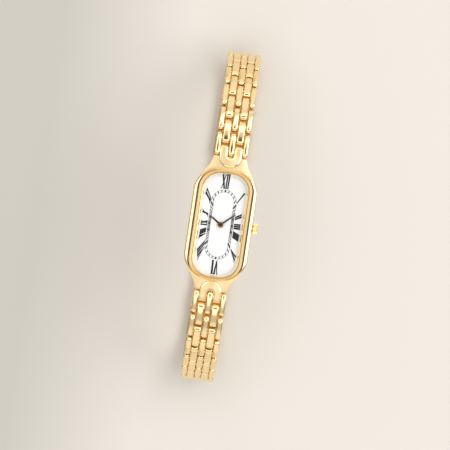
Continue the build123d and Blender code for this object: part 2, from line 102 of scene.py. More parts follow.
# %% Select, start and edit
def select_only(*pieces):
    """Select these pieces and nothing else. The first one is the active one."""
    bpy.ops.object.select_all(action="DESELECT")
    for piece in pieces:
        piece.select_set(True)
    bpy.context.view_layer.objects.active = pieces[0]


def start(kind, name, **settings):
    """Add a primitive with nothing else selected."""
    bpy.ops.object.select_all(action="DESELECT")
    getattr(bpy.ops.mesh, f"primitive_{kind}_add")(**settings)
    piece = bpy.context.object
    piece.name = name
    return piece


@contextmanager
def editing(piece, kind="VERT"):
    """Edit mode on one piece, with nothing selected at first."""
    select_only(piece)
    bpy.ops.object.mode_set(mode="EDIT")
    bpy.ops.mesh.select_mode(type=kind)
    bpy.ops.mesh.select_all(action="DESELECT")
    yield
    bpy.ops.object.mode_set(mode="OBJECT")


# %% [markdown]
# ## Drawing a shape out in steps
# Many pieces are one outline drawn out through several stations: a ring, a shoulder, a crown. We start
# from a circle with the right number of points, place them, and extrude it from station to station.

# %% Draw out
MERGE = MM / 1000


def place_selected(piece, old_loop, new_loop):
    """Move the selected points from one station's places to the next one's."""
    tree = KDTree(len(old_loop))
    for number, point in enumerate(old_loop):
        tree.insert(Vector(point) * MM, number)
    tree.balance()
    mesh = bmesh.from_edit_mesh(piece.data)
    for vertex in mesh.verts:
        if vertex.select:
            vertex.co = Vector(new_loop[tree.find(vertex.co)[1]]) * MM
    bmesh.update_edit_mesh(piece.data)


def draw_out(name, loops, ring=False):
    """A piece drawn through loops of points. A ring closes on its first loop, others are capped."""
    fill = "NOTHING" if ring else "NGON"
    piece = start("circle", name, vertices=len(loops[0]), radius=MM, fill_type=fill)
    with editing(piece):
        mesh = bmesh.from_edit_mesh(piece.data)
        for vertex, point in zip(mesh.verts, loops[0]):
            vertex.co = Vector(point) * MM
        bmesh.update_edit_mesh(piece.data)
        bpy.ops.mesh.select_all(action="SELECT")
        path = list(loops) + ([loops[0]] if ring else [])
        for old_loop, new_loop in zip(path, path[1:]):
            bpy.ops.mesh.extrude_region_move()
            place_selected(piece, old_loop, new_loop)
        bpy.ops.mesh.select_all(action="SELECT")
        if ring:
            bpy.ops.mesh.remove_doubles(threshold=MERGE)
        bpy.ops.mesh.normals_make_consistent(inside=False)
    return piece


# %% [markdown]
# ## Finishing a piece
# A thin bevel on the sharp edges catches the light as a real rounded edge does. Each piece also keeps
# the place of every point on itself, so that a brushed grain follows a brick wherever the brick sits.

# %% Finish helpers
SHARP = radians(30)


def apply_modifier(piece, modifier):
    """The modifier's result becomes the mesh."""
    select_only(piece)
    bpy.ops.object.modifier_apply(modifier=modifier.name)


def round_edges(piece, width):
    """A bevel on the sharp edges."""
    bevel = piece.modifiers.new("edges", "BEVEL")
    bevel.width = width * MM
    bevel.segments = 2
    bevel.limit_method = "ANGLE"
    bevel.angle_limit = SHARP
    bevel.use_clamp_overlap = True
    apply_modifier(piece, bevel)


def smooth(piece, angle):
    """Smooth shading that stops at edges sharper than the angle."""
    select_only(piece)
    bpy.ops.object.shade_smooth_by_angle(angle=radians(angle))


def keep_places(piece, shift=(0, 0, 0)):
    """Store each point's own place, in millimetres, for the materials."""
    kept = piece.data.attributes.get("own_place") or piece.data.attributes.new(
        "own_place", "FLOAT_VECTOR", "POINT"
    )
    for item, vertex in zip(kept.data, piece.data.vertices):
        item.vector = vertex.co / MM + Vector(shift)


def settle(piece, body, nodes=()):
    """The piece rides on its body and stands for its CAD nodes."""
    if "own_place" not in piece.data.attributes:
        keep_places(piece)
    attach(piece, body)
    if nodes:
        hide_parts(*nodes)
    print(piece.name, len(piece.data.polygons), "faces on", body)


def join(pieces, name):
    """Several pieces become one mesh."""
    select_only(*pieces)
    bpy.ops.object.join()
    pieces[0].name = name
    return pieces[0]


def paint(piece, *finishes):
    """The piece's material slots."""
    piece.data.materials.clear()
    for finish in finishes:
        piece.data.materials.append(finish)


# %% [markdown]
# ## Shader sums in plain Python
# A material is a graph of nodes. The little class below wraps one socket, so that a sum such as
# `1 - mask` adds the Math node by itself. Every other node comes from one method, `add`. All the
# finishes of the watch are then short sums of clouds and lines of noise.

# %% Shader maths
class Signal:
    """One socket of a finish, which can be added, multiplied and so on."""

    def __init__(self, finish, socket):
        self.finish = finish
        self.socket = socket

    def sum_with(self, operation, first, second=0.0):
        """A Math node on one value or two."""
        return self.finish.add("Math", {"operation": operation}, {0: first, 1: second})

    def __add__(self, other):
        return self.sum_with("ADD", self, other)

    __radd__ = __add__

    def __mul__(self, other):
        return self.sum_with("MULTIPLY", self, other)

    __rmul__ = __mul__

    def __sub__(self, other):
        return self.sum_with("SUBTRACT", self, other)

    def __rsub__(self, other):
        return self.sum_with("SUBTRACT", other, self)

    def __abs__(self):
        return self.sum_with("ABSOLUTE", self)

    def __gt__(self, other):
        return self.sum_with("GREATER_THAN", self, other)

    def larger(self, other):
        """The larger of two values."""
        return self.sum_with("MAXIMUM", self, other)


# %% Finish class
BUMP = MM / 50


class Finish:
    """A material, or the world, built node by node."""

    def __init__(self, name, owner=None):
        self.owner = owner or bpy.data.materials.new(name)
        self.owner.use_nodes = True
        self.tree = self.owner.node_tree
        self.tree.nodes.clear()

    def add(self, kind, settings=None, inputs=None, output=0):
        """A node of a kind, with its settings first and then its sockets' values or links. The stops
        of a colour ramp are positions and grey levels."""
        node = self.tree.nodes.new("ShaderNode" + kind)
        for key, value in (settings or {}).items():
            if key == "stops":
                ramp = node.color_ramp
                while len(ramp.elements) < len(value):
                    ramp.elements.new(1.0)
                for stop, (position, level) in zip(ramp.elements, value):
                    stop.position = position
                    stop.color = (level, level, level, 1)
            else:
                setattr(node, key, value)
        for key, value in (inputs or {}).items():
            if isinstance(value, Signal):
                self.tree.links.new(value.socket, node.inputs[key])
            else:
                node.inputs[key].default_value = value
        return Signal(self, node.outputs[output]) if node.outputs else None

    def place(self, from_mesh=True):
        """Where a point is: on the piece itself, or in the frame for a CAD node."""
        if from_mesh:
            return self.add("Attribute", {"attribute_name": "own_place"}, output="Vector")
        spot = self.add("TexCoord", output="Object")
        return self.add("VectorMath", {"operation": "SCALE"}, {0: spot, "Scale": 1 / MM})

    def noise(self, place, scale, stretch=(1, 1, 1), detail=2.0):
        """Soft noise between 0 and 1, stretched along an axis for a grain."""
        spot = self.add("Mapping", inputs={"Vector": place, "Scale": stretch})
        return self.add(
            "TexNoise", inputs={"Vector": spot, "Scale": scale, "Detail": detail}, output="Fac"
        )

    def blend(self, factor, first, second):
        """A colour between two colours. A Mix node's colour sockets share their names with those
        for values and vectors, so they go by number."""
        return self.add(
            "Mix",
            {"data_type": "RGBA", "clamp_factor": True},
            {0: factor, 6: first, 7: second},
            output=2,
        )

    def bump(self, height, strength):
        """Fine bumps on a surface."""
        return self.add("Bump", inputs={"Strength": strength, "Distance": BUMP, "Height": height})

    def axis(self, vector, letter):
        """One part of a vector."""
        return self.add("SeparateXYZ", inputs={0: vector}, output=letter)

    def fade(self, value, low, high, start=0.0, end=1.0, kind="SMOOTHSTEP"):
        """Start where the value is below low, end where it is above high, and a change between."""
        return self.add(
            "MapRange",
            {"interpolation_type": kind},
            {"Value": value, "From Min": low, "From Max": high, "To Min": start, "To Max": end},
        )

    def close(self, shader):
        """Send the shader to the output."""
        self.add("OutputMaterial", inputs={"Surface": shader})
        return self.owner


def tint(red, green, blue):
    """A colour with full alpha."""
    return (red, green, blue, 1.0)


# %% [markdown]
# ## Gold
# All the gold comes from one function. Polished gold is almost a mirror with faint wiping marks.
# Satin gold has fine brush lines along the bracelet, which come from noise stretched along Y. The
# bricks, the crown and the rim of the bezel each have a shade of their own. The deep amber of the line
# inside the rim is painted reflection of gold in gold, and the rim's amber towards 12 and 6 is painted
# reflection too. Painted shade gold is a darker gold for the bars that lie deep between the bricks.
# Tiny changes of colour and gloss from place to place stop the metal from looking like plastic.

# %% Gold finishes
CLOUD_SCALE, WIPING_SCALE, LINES_SCALE = 0.35, 2.2, 9.0
WIPING_STRETCH, LINES_STRETCH = (1, 0.25, 1), (1, 0.06, 1)
# Each gold is two close colours, between which it changes from place to place.
GOLD = ((1.0, 0.775, 0.43), (0.97, 0.70, 0.34))
BRICK_GOLD = ((1.0, 0.78, 0.43), (0.97, 0.72, 0.36))
SATIN_GOLD = ((0.9, 0.69, 0.39), (0.86, 0.63, 0.33))
CROWN_GOLD = ((1.0, 0.83, 0.42), (1.0, 0.76, 0.34))
# Painted shade: a darker gold for the bars that lie deep between the bricks.
PAINTED_SHADE_GOLD = ((0.66, 0.33, 0.09), (0.56, 0.27, 0.07))
RIM_GOLD = ((0.88, 0.67, 0.37), (0.83, 0.61, 0.32))
# Painted reflection: the rim's colour towards 12 and 6.
RIM_PAINTED_REFLECTION = (0.76, 0.5, 0.21)
# Painted reflection of gold in gold: the deep amber of the bezel's narrow inner wall.
LINE_PAINTED_REFLECTION_GOLD = ((0.82, 0.42, 0.13), (0.76, 0.37, 0.1))
PAINTED_REFLECTION_START, PAINTED_REFLECTION_FULL = 8.6, 11.4


def gold_finish(name, roughness, grain, colours=GOLD, ends=None, from_mesh=True):
    """Gold with a roughness, a brushed grain of a given depth, and perhaps a painted reflection at 12
    and 6.
    """
    finish = Finish(name)
    place = finish.place(from_mesh)
    cloud = finish.noise(place, CLOUD_SCALE)
    wiping = finish.noise(place, WIPING_SCALE, WIPING_STRETCH, 3.0)
    lines = finish.noise(place, LINES_SCALE, LINES_STRETCH, 3.0)
    colour = finish.blend(cloud * 0.5 + wiping * 0.2, *(tint(*colour) for colour in colours))
    # Painted reflection: towards 12 and 6 the colour turns to the ends colour.
    if ends:
        share = finish.fade(abs(finish.axis(place, "Y")), PAINTED_REFLECTION_START, PAINTED_REFLECTION_FULL)
        colour = finish.blend(share, colour, tint(*ends))
    # Noise is 0.5 on average, so half of what it adds is taken off the roughness again.
    gloss = wiping * 0.06 + lines * (0.25 * grain) + (roughness - 0.03 - 0.12 * grain)
    bump = finish.bump(lines, 0.04 + 0.25 * grain)
    shader = finish.add(
        "BsdfPrincipled",
        inputs={"Base Color": colour, "Metallic": 1.0, "Roughness": gloss, "Normal": bump},
    )
    return finish.close(shader)


polished_gold = gold_finish("polished_gold", 0.13, 0.0)
brick_gold = gold_finish("brick_gold", 0.12, 0.06, BRICK_GOLD)
satin_gold = gold_finish("satin_gold", 0.36, 0.8, SATIN_GOLD)
crown_gold = gold_finish("crown_gold", 0.16, 0.0, CROWN_GOLD)
# Painted shade: a darker gold for the bars deep between the bricks.
shade_gold = gold_finish("shade_gold", 0.3, 0.2, PAINTED_SHADE_GOLD)
# The rim's amber towards 12 and 6 is painted reflection.
rim_gold = gold_finish("rim_gold", 0.36, 0.4, RIM_GOLD, RIM_PAINTED_REFLECTION)
# The narrow wall's deep amber is painted reflection of gold in gold.
line_gold = gold_finish("line_gold", 0.3, 0.1, LINE_PAINTED_REFLECTION_GOLD)
inner_gold = gold_finish("inner_gold", 0.3, 0.3, from_mesh=False)
print("gold finishes ready")

# %% [markdown]
# ## Enamel, ink, brown and the hidden metals
# The dial is a white enamel with hardly any gloss. Ink and the hands' brown hardly mirror at all, or
# they would look grey under the bright studio. A paint could be one flat colour, but real ones never
# are, so each has two close colours in soft clouds and a little grain in its gloss.

# %% Other finishes
SOFT_CLOUD, FINE_GRAIN = 0.6, 14.0
MATT_SHINE = 0.05


def plain_finish(name, light, dark, metallic, roughness, bump=0.05, shine=0.5, from_mesh=True):
    """A finish with two close colours in soft clouds. Shine is how much a non-metal mirrors."""
    finish = Finish(name)
    place = finish.place(from_mesh)
    cloud = finish.noise(place, SOFT_CLOUD, detail=3.0)
    fine = finish.noise(place, FINE_GRAIN)
    shader = finish.add(
        "BsdfPrincipled",
        inputs={
            "Base Color": finish.blend(cloud, tint(*light), tint(*dark)),
            "Metallic": metallic,
            "Roughness": fine * 0.08 + (roughness - 0.04),
            "Specular IOR Level": shine,
            "Normal": finish.bump(fine, bump),
        },
    )
    return finish.close(shader)


def matt_finish(name, light, dark, roughness):
    """A coloured coat that hardly mirrors."""
    return plain_finish(name, light, dark, 0.0, roughness, shine=MATT_SHINE)


def hidden_finish(name, light, dark, metallic, roughness):
    """A finish for a node that keeps its CAD shape."""
    return plain_finish(name, light, dark, metallic, roughness, from_mesh=False)


enamel = plain_finish("dial_enamel", (0.94, 0.94, 0.935), (0.91, 0.91, 0.905), 0.0, 0.5, bump=0.02)
ink = matt_finish("numeral_ink", (0.006, 0.006, 0.007), (0.012, 0.011, 0.011), 0.6)
pale_ink = matt_finish("track_ink", (0.05, 0.05, 0.05), (0.08, 0.08, 0.08), 0.6)
hand_brown = matt_finish("hand_brown", (0.02, 0.012, 0.006), (0.035, 0.02, 0.009), 0.5)
hub_gold = plain_finish("hub_gold", (0.3, 0.17, 0.04), (0.2, 0.11, 0.03), 1.0, 0.3)
steel = plain_finish("satin_steel", (0.62, 0.61, 0.6), (0.5, 0.5, 0.49), 1.0, 0.32)
inner_steel = hidden_finish("inner_steel", (0.6, 0.6, 0.6), (0.48, 0.48, 0.48), 1.0, 0.35)
inner_brass = hidden_finish("inner_brass", (0.72, 0.56, 0.3), (0.6, 0.45, 0.22), 1.0, 0.35)
inner_rubber = hidden_finish("inner_rubber", (0.03, 0.03, 0.03), (0.05, 0.05, 0.05), 0.0, 0.7)
inner_plastic = hidden_finish("inner_plastic", (0.8, 0.8, 0.77), (0.72, 0.72, 0.7), 0.0, 0.5)
print("other finishes ready")

# %% [markdown]
# ## Glass
# The glass is a Mix Shader. Rays that carry shadow or soft light pass straight through, because glass
# would otherwise leave the dial in the dark. So do rays that have bounced about inside it, which would
# end up black. The flat of the glass bends light little, as if it were coated, so that it mirrors
# little of the sky over the ink. Its bevelled edge bends it fully, and its yellow tint is a painted
# reflection of the gold round it.

# %% Glass finishes
BOUNCES = 2.5
SMEAR_SCALE = 1.5
CLEAR = (0.98, 0.98, 0.98)


def glass_finish(name, colour, bending):
    """Mineral glass, whose bending is its index of refraction."""
    finish = Finish(name)
    smear = finish.noise(finish.place(), SMEAR_SCALE, detail=3.0)
    clear = finish.add("BsdfTransparent", inputs={"Color": tint(*CLEAR)})
    glass = finish.add(
        "BsdfPrincipled",
        inputs={
            "Base Color": tint(*colour),
            "Roughness": smear * 0.01,
            "IOR": bending,
            "Specular IOR Level": 0.3,
            "Transmission Weight": 1.0,
        },
    )
    shadow = finish.add("LightPath", output="Is Shadow Ray")
    soft = finish.add("LightPath", output="Is Diffuse Ray")
    depth = finish.add("LightPath", output="Ray Depth")
    passed = shadow.larger(soft).larger(depth > BOUNCES)
    return finish.close(finish.add("MixShader", inputs={0: 1 - passed, 1: clear, 2: glass}))


glass = glass_finish("crystal_glass", (1.0, 1.0, 1.0), 1.22)
# The edge's yellow tint is painted reflection of the gold wall round it.
edge_glass_painted_gold = glass_finish("crystal_edge", (0.96, 0.87, 0.5), 1.45)
print("glass finishes ready")

# %% [markdown]
# ## The oblong outline
# Case, bezel and crystal share one family of outlines: straight sides, small corner arcs and wide end
# arcs. Each is given by half its width, half its length, and the radius of a corner and of an end.
# A stretched circle would have no straight sides, and a bevelled box no rounded ends, so the points
# come from the arcs. Every outline has the same number of them, so any two can be joined by faces.

# %% Oblong outline
SIDE_STEPS, CORNER_STEPS, WIDE_STEPS = 4, 9, 6
CASE_OUTLINE = (6.85, 12.1, 4.6, 9.0)
BEZEL_OUTLINE = (6.08, 11.8, 4.2, 9.4)
CRYSTAL_OUTLINE = (4.95, 11.05, 3.7, 9.0)


def oblong(half_width, half_length, corner_radius, end_radius, height):
    """The outline's points, anticlockwise from 3 o'clock, at a height."""
    corner_x = half_width - corner_radius
    wide_y = half_length - end_radius
    corner_y = wide_y + sqrt((end_radius - corner_radius) ** 2 - corner_x**2)
    turn = atan2(corner_y - wide_y, corner_x)
    quarter = [(half_width, corner_y * n / SIDE_STEPS) for n in range(SIDE_STEPS)]
    for n in range(CORNER_STEPS):
        angle = turn * n / CORNER_STEPS
        quarter.append((corner_x + corner_radius * cos(angle), corner_y + corner_radius * sin(angle)))
    for n in range(WIDE_STEPS):
        angle = turn + (pi / 2 - turn) * n / WIDE_STEPS
        quarter.append((end_radius * cos(angle), wide_y + end_radius * sin(angle)))
    back = [(0, half_length)] + quarter[:0:-1]
    around = quarter + [(-x, y) for x, y in back]
    around += [(-x, -y) for x, y in quarter] + [(x, -y) for x, y in back]
    return [high(x, y, height) for x, y in around]


def case_line(inset, height):
    """The case's outline, set in by a distance."""
    half_width, half_length, corner, end = (size - inset for size in CASE_OUTLINE)
    return oblong(half_width, half_length, corner, end, height)


def bezel_line(inset, height, end_inset):
    """The bezel's outer outline, set in by a distance at the sides and by another at the ends."""
    half_width, half_length, corner, end = BEZEL_OUTLINE
    return oblong(
        half_width - inset, half_length - end_inset, corner - inset, end - end_inset, height
    )


def opening_line(growth, height, end_growth=None):
    """The crystal's outline, grown by a distance, which may differ at the ends."""
    ends = growth if end_growth is None else end_growth
    half_width, half_length, corner, end = CRYSTAL_OUTLINE
    return oblong(half_width + growth, half_length + ends, corner + growth, end + ends, height)


print("points in an outline", len(case_line(0, 0)))

# %% [markdown]
# ## Case
# The case is a ring of solid gold. Its top is not flat: it rolls gently outwards, and that is why it
# shines white in the photo. A bevelled block could give one radius all round. Drawing the ring out
# through stations gives a slow roll that tightens at the edge, so we do that.

# %% Case ring
CAVITY, CAVITY_TOP = 0.25, 1.39
# Each station is how far the outline is set in, and its height.
CASE_STATIONS = [
    (0.12, CASE_BOTTOM), (0.0, CASE_BOTTOM + 0.14), (0.0, 0.94), (0.03, 1.07), (0.1, 1.18),
    (0.19, 1.25), (0.26, 1.275), (0.52, 1.33), (0.8, 1.38),
]
case_loops = [opening_line(CAVITY, CASE_BOTTOM)]
case_loops += [case_line(*station) for station in CASE_STATIONS]
case_loops += [opening_line(CAVITY, CAVITY_TOP)]
case_ring = draw_out("case_ring", case_loops, ring=True)
print("case ring", len(case_ring.data.polygons), "faces")

# %% [markdown]
# A shoulder grows out of each end of the case, and the bracelet starts there. It narrows in a curve,
# so it is drawn out along Y through cross cuts. Both ends of the watch use the same cuts, mirrored.

# %% Shoulders
# Each station is a place along the bracelet, half the width there, the top and the bottom.
SHOULDER_STATIONS = [
    (8.6, 6.1, 1.06, -1.6), (9.6, 5.92, 1.1, -1.6), (10.2, 5.62, 1.12, -1.6),
    (10.85, 5.26, 1.13, -1.58), (11.5, 4.84, 1.12, -1.52), (12.13, 4.42, 1.09, -1.44),
    (12.7, 4.11, 1.04, -1.36), (13.3, 3.86, 0.98, -1.27), (13.9, 3.69, 0.9, -1.18),
    (14.3, 3.61, 0.84, -1.12), (14.5, 3.57, 0.78, -1.08),
]
SOFT_EDGE = 0.16
FLANK_STRIP = 0.1


def shoulder_section(y, half_width, top, bottom):
    """The shoulder cut across at y, with its upper edges rounded."""
    right = [
        (half_width - SOFT_EDGE, bottom),
        (half_width, bottom + SOFT_EDGE),
        (half_width, top - SOFT_EDGE - FLANK_STRIP),
        (half_width, top - SOFT_EDGE),
        (half_width - 0.3 * SOFT_EDGE, top - 0.35 * SOFT_EDGE),
        (half_width - 1.4 * SOFT_EDGE, top),
    ]
    return [high(x, y, z) for x, z in right] + [high(-x, y, z) for x, z in reversed(right)]


def at_end(name, loops, side):
    """Loops of the 12 o'clock end drawn out there for side 1, and at 6 o'clock for side -1."""
    return draw_out(f"{name}_{side}", [[(x, side * y, z) for x, y, z in loop] for loop in loops])


shoulder_loops = [shoulder_section(*station) for station in SHOULDER_STATIONS]
shoulders = [at_end("shoulder", shoulder_loops, side) for side in (1, -1)]
print("shoulders", [len(shoulder.data.polygons) for shoulder in shoulders])

# %% [markdown]
# ## Horns
# A raised U sits in each shoulder, and its two prongs are the first bricks of the second and fourth
# columns. Its outer and inner outlines have matching points, so the band between them is drawn out
# from one prong's tip, round the bend, to the other tip.

# %% Horn outlines
PRONG_SHIFT = 0.02
HORN_OUTER = FLAT_COLUMN + FLAT_WIDTH / 2 + PRONG_SHIFT
HORN_INNER = FLAT_COLUMN - FLAT_WIDTH / 2 + PRONG_SHIFT
HORN_REACH_Y, HORN_NOTCH_Y = 12.3, 14.2
HORN_TOP, HORN_SLOPE = 1.2, 0.1
HORN_DEPTH = -0.7
HORN_EDGE = 0.3
HORN_BEND_STEPS = 10
PRONG_PLACES = (FIRST_PIN_Y + 0.5, 15.6, 15.1)
# Each tip station is how far it is beyond the first pin, its top and its bottom.
PRONG_TIP = [(1.1, 0.36, -0.36), (0.98, 0.6, -0.6), (0.84, 0.72, -0.68)]


def horn_top(y):
    """The horn's height, which falls towards the tips."""
    return HORN_TOP - HORN_SLOPE * max(y - HORN_REACH_Y, 0)


def horn_section(outer, inner, top, bottom):
    """A cut across the band between its two outlines."""
    (ox, oy), (ix, iy) = outer, inner
    span = sqrt((ox - ix) ** 2 + (oy - iy) ** 2)
    step_x, step_y = (ix - ox) / span, (iy - oy) / span

    def at(step, height):
        return high(ox + step_x * step, oy + step_y * step, height)

    low, soft = top - 0.5 * HORN_EDGE, top - 0.2 * HORN_EDGE
    return [
        at(0, bottom), at(0, low), at(0.2 * HORN_EDGE, soft), at(HORN_EDGE, top),
        at(span - HORN_EDGE, top), at(span - 0.2 * HORN_EDGE, soft), at(span, low), at(span, bottom),
    ]


def horn_loops(growth):
    """All the cuts of one horn, from the right tip to the left tip, its outlines grown by a seam."""
    outer_half, inner_half = HORN_OUTER + growth, HORN_INNER - growth
    outer_arc_y, inner_arc_y = HORN_REACH_Y + HORN_OUTER, HORN_NOTCH_Y + HORN_INNER
    prong = [(FIRST_PIN_Y + beyond, top, bottom) for beyond, top, bottom in PRONG_TIP]
    prong += [(y, horn_top(y), HORN_DEPTH) for y in PRONG_PLACES]
    right = [((outer_half, y), (inner_half, y), top, bottom) for y, top, bottom in prong]
    for n in range(HORN_BEND_STEPS):
        angle = pi / 2 * n / HORN_BEND_STEPS
        outer = (outer_half * cos(angle), outer_arc_y - outer_half * sin(angle))
        inner = (inner_half * cos(angle), inner_arc_y - inner_half * sin(angle))
        right.append((outer, inner, horn_top(outer[1]), HORN_DEPTH))
    left = [((-o[0], o[1]), (-i[0], i[1]), top, bottom) for o, i, top, bottom in reversed(right)]
    outer, inner = (0, HORN_REACH_Y - growth), (0, HORN_NOTCH_Y + growth)
    middle = (outer, inner, horn_top(HORN_REACH_Y), HORN_DEPTH - growth)
    return [horn_section(*cut) for cut in right + [middle] + left]


print("cuts of a horn", len(horn_loops(0.0)))

# %% [markdown]
# The shoulders join the ring, and the horns' seats are cut out of them. A Boolean modifier does both.
# The seat is a horn with grown outlines, so that a fine seam is left round the horn that sits in it.

# %% Unite and cut
HORN_SEAM = 0.06


def combine(piece, other, operation):
    """A Boolean modifier, applied, after which the other piece is gone."""
    change = piece.modifiers.new("combine", "BOOLEAN")
    change.operation = operation
    change.object = other
    change.solver = "EXACT"
    apply_modifier(piece, change)
    bpy.data.objects.remove(other)


for shoulder in shoulders:
    combine(case_ring, shoulder, "UNION")
for side in (1, -1):
    combine(case_ring, at_end("seat", horn_loops(HORN_SEAM), side), "DIFFERENCE")
print("case with shoulders", len(case_ring.data.polygons), "faces")

# %% [markdown]
# The shoulders' tops and the horns' tops are satin, and their edges are polished. So case and horns
# are one mesh each with two materials, and a face gets the second one by where it is and faces.

# %% Finish of the case and the horns
SHOULDER_Y, SHOULDER_HEIGHT = 10.0, 1.2
UPWARD, LEVEL = 0.9, 0.98


def choose_finish(piece, number, test):
    """Faces whose middle, in millimetres, and normal pass the test get that material."""
    for face in piece.data.polygons:
        if test(face.center / MM, face.normal):
            face.material_index = number


def on_shoulder(middle, normal):
    """Whether a face is on top of a shoulder, and not on the ring's roll above it."""
    low = middle.z - PIN_LINE < SHOULDER_HEIGHT
    return low and abs(middle.y) > SHOULDER_Y and normal.z > UPWARD


paint(case_ring, polished_gold, satin_gold)
choose_finish(case_ring, 1, on_shoulder)
smooth(case_ring, 22)
case_ring.name = "case_body"
settle(case_ring, "watch_case", ["case"])

horns = join([at_end("horn", horn_loops(0.0), side) for side in (1, -1)], "horn_links")
paint(horns, polished_gold, satin_gold)
choose_finish(horns, 1, lambda middle, normal: normal.z > LEVEL)
smooth(horns, 12)
settle(horns, "watch_case", ["end_links"])

# %% [markdown]
# ## Bezel
# From outside to inside the bezel has a short wall, a steep polished slope, a flat rim and a bevel
# down to the glass. The slope mirrors the dark edge of the studio, which draws the thin dark line that
# runs all round the watch. The rim is duller, and the narrow wall inside it is a line of deep amber,
# which is painted reflection of gold in gold, as is the rim's amber towards 12 and 6. Ends and sides
# have different widths, which a bevel can't give, so this ring too is drawn out.

# %% Bezel ring
CRYSTAL_SEAT = 2.2
BEZEL_TOP = 2.9
# Each station is how far the outline is grown or set in at the sides, its height, and how far at the
# ends. Outside it is the bezel's own outline, set in. Under and inside it is the crystal's, grown.
BEZEL_UNDER = [(-0.2, CASE_TOP, 0.05), (0.3, CASE_TOP, 0.5)]
BEZEL_OUTSIDE = [
    (0.0, 1.0, -0.28), (0.0, 2.6, -0.28), (0.32, 2.87, -0.08), (0.38, BEZEL_TOP, -0.03),
    (0.42, BEZEL_TOP, 0.0),
]
BEZEL_INSIDE = [
    (0.22, BEZEL_TOP, 0.48), (0.18, 2.895, 0.44), (0.05, 2.81, 0.3), (0.03, 2.7, 0.26),
    (0.03, CRYSTAL_SEAT, 0.26), (-0.2, CRYSTAL_SEAT, 0.12), (-0.4, CRYSTAL_SEAT - 0.03, -0.02),
    (-0.43, CASE_TOP + 0.05, -0.04), (-0.24, CASE_TOP + 0.02, 0.03),
]
bezel_loops = [opening_line(*station) for station in BEZEL_UNDER]
bezel_loops += [bezel_line(*station) for station in BEZEL_OUTSIDE]
bezel_loops += [opening_line(*station) for station in BEZEL_INSIDE]
bezel = draw_out("bezel_ring", bezel_loops, ring=True)
print("bezel", len(bezel.data.polygons), "faces")

# %% Finish of the bezel
RIM_LEVEL = 0.995
LINE_X, LINE_Y, LINE_HEIGHT = 5.2, 11.52, 2.6


def on_line(middle, normal):
    """Whether a face is on the narrow wall between the rim and the glass."""
    inside = abs(middle.x) < LINE_X and abs(middle.y) < LINE_Y
    return inside and middle.z - PIN_LINE > LINE_HEIGHT


# The narrow wall gets the gold with painted reflection, and the rim gets painted reflection at its ends.
paint(bezel, polished_gold, rim_gold, line_gold)
choose_finish(bezel, 2, on_line)
choose_finish(bezel, 1, lambda middle, normal: normal.z > RIM_LEVEL)
smooth(bezel, 22)
settle(bezel, "watch_case", ["bezel"])

# %% [markdown]
# ## Crystal
# The glass is a block with a bevelled upper edge. The bevel bends the view outwards, so it shows the
# gold wall beside the dial as a thin yellow line, and its glass is tinted yellow as a painted
# reflection of that gold. A closed solid is needed for the bending. A single sheet would only mirror.

# %% Crystal block
CRYSTAL_BOTTOM, CRYSTAL_TOP = 2.3, 3.3
# Each station is how far the outline has grown at the sides, its height, and how far at the ends.
CRYSTAL_STATIONS = [
    (0.0, CRYSTAL_BOTTOM, 0.24), (0.0, 2.95, 0.24), (-0.34, CRYSTAL_TOP - 0.012, -0.06),
    (-0.38, CRYSTAL_TOP, -0.1),
]
BEVEL_LOW, BEVEL_HIGH = 0.2, 0.95
crystal = draw_out("crystal_glass", [opening_line(*station) for station in CRYSTAL_STATIONS])
# The bevel gets the glass with the painted gold reflection.
paint(crystal, glass, edge_glass_painted_gold)
choose_finish(crystal, 1, lambda middle, normal: BEVEL_LOW < normal.z < BEVEL_HIGH)
smooth(crystal, 20)
settle(crystal, "watch_case", ["crystal"])

# %% [markdown]
# ## Dial
# The dial is a thin white plate. Its edge hides under the bezel. The hole in its middle lets the tubes
# of the hands through, so the plate is a ring too: from the hole's circle out to the edge, up, and back.

# %% Dial plate
DIAL_BOTTOM, DIAL_TOP = 1.0, CASE_TOP
DIAL_EDGE, DIAL_HOLE = 0.17, 0.5


def round_line(radius, height):
    """A circle with as many points as an oblong outline has, at matching angles."""
    angles = [atan2(y, x) for x, y, _ in opening_line(DIAL_EDGE, 0)]
    return [high(radius * cos(a), radius * sin(a), height) for a in angles]


dial = draw_out(
    "dial_plate",
    [
        round_line(DIAL_HOLE, DIAL_BOTTOM),
        opening_line(DIAL_EDGE, DIAL_BOTTOM),
        opening_line(DIAL_EDGE, DIAL_TOP),
        round_line(DIAL_HOLE, DIAL_TOP),
    ],
    ring=True,
)
paint(dial, enamel)
smooth(dial, 30)
settle(dial, "watch_case", ["dial"])

# %% [markdown]
# ## Numerals and minute track
# The hours are Roman numerals, stretched outwards towards the edge of the oblong. Each numeral is a
# few strokes in a unit square, and the square is then pulled to four corners on the dial. A numeral
# that is pulled wide would get fat strokes and a narrow one thin ones, so there are three weights.

# %% Strokes of a numeral
# The widths of thin and thick strokes and the height of the serifs, as shares of a letter's height.
TALL = {"thin": 0.17, "thick": 0.33, "serif": 0.05}
PLAIN = {"thin": 0.24, "thick": 0.38, "serif": 0.1}
HEAVY = {"thin": 0.26, "thick": 0.43, "serif": 0.1}
X_BROADER = 1.25


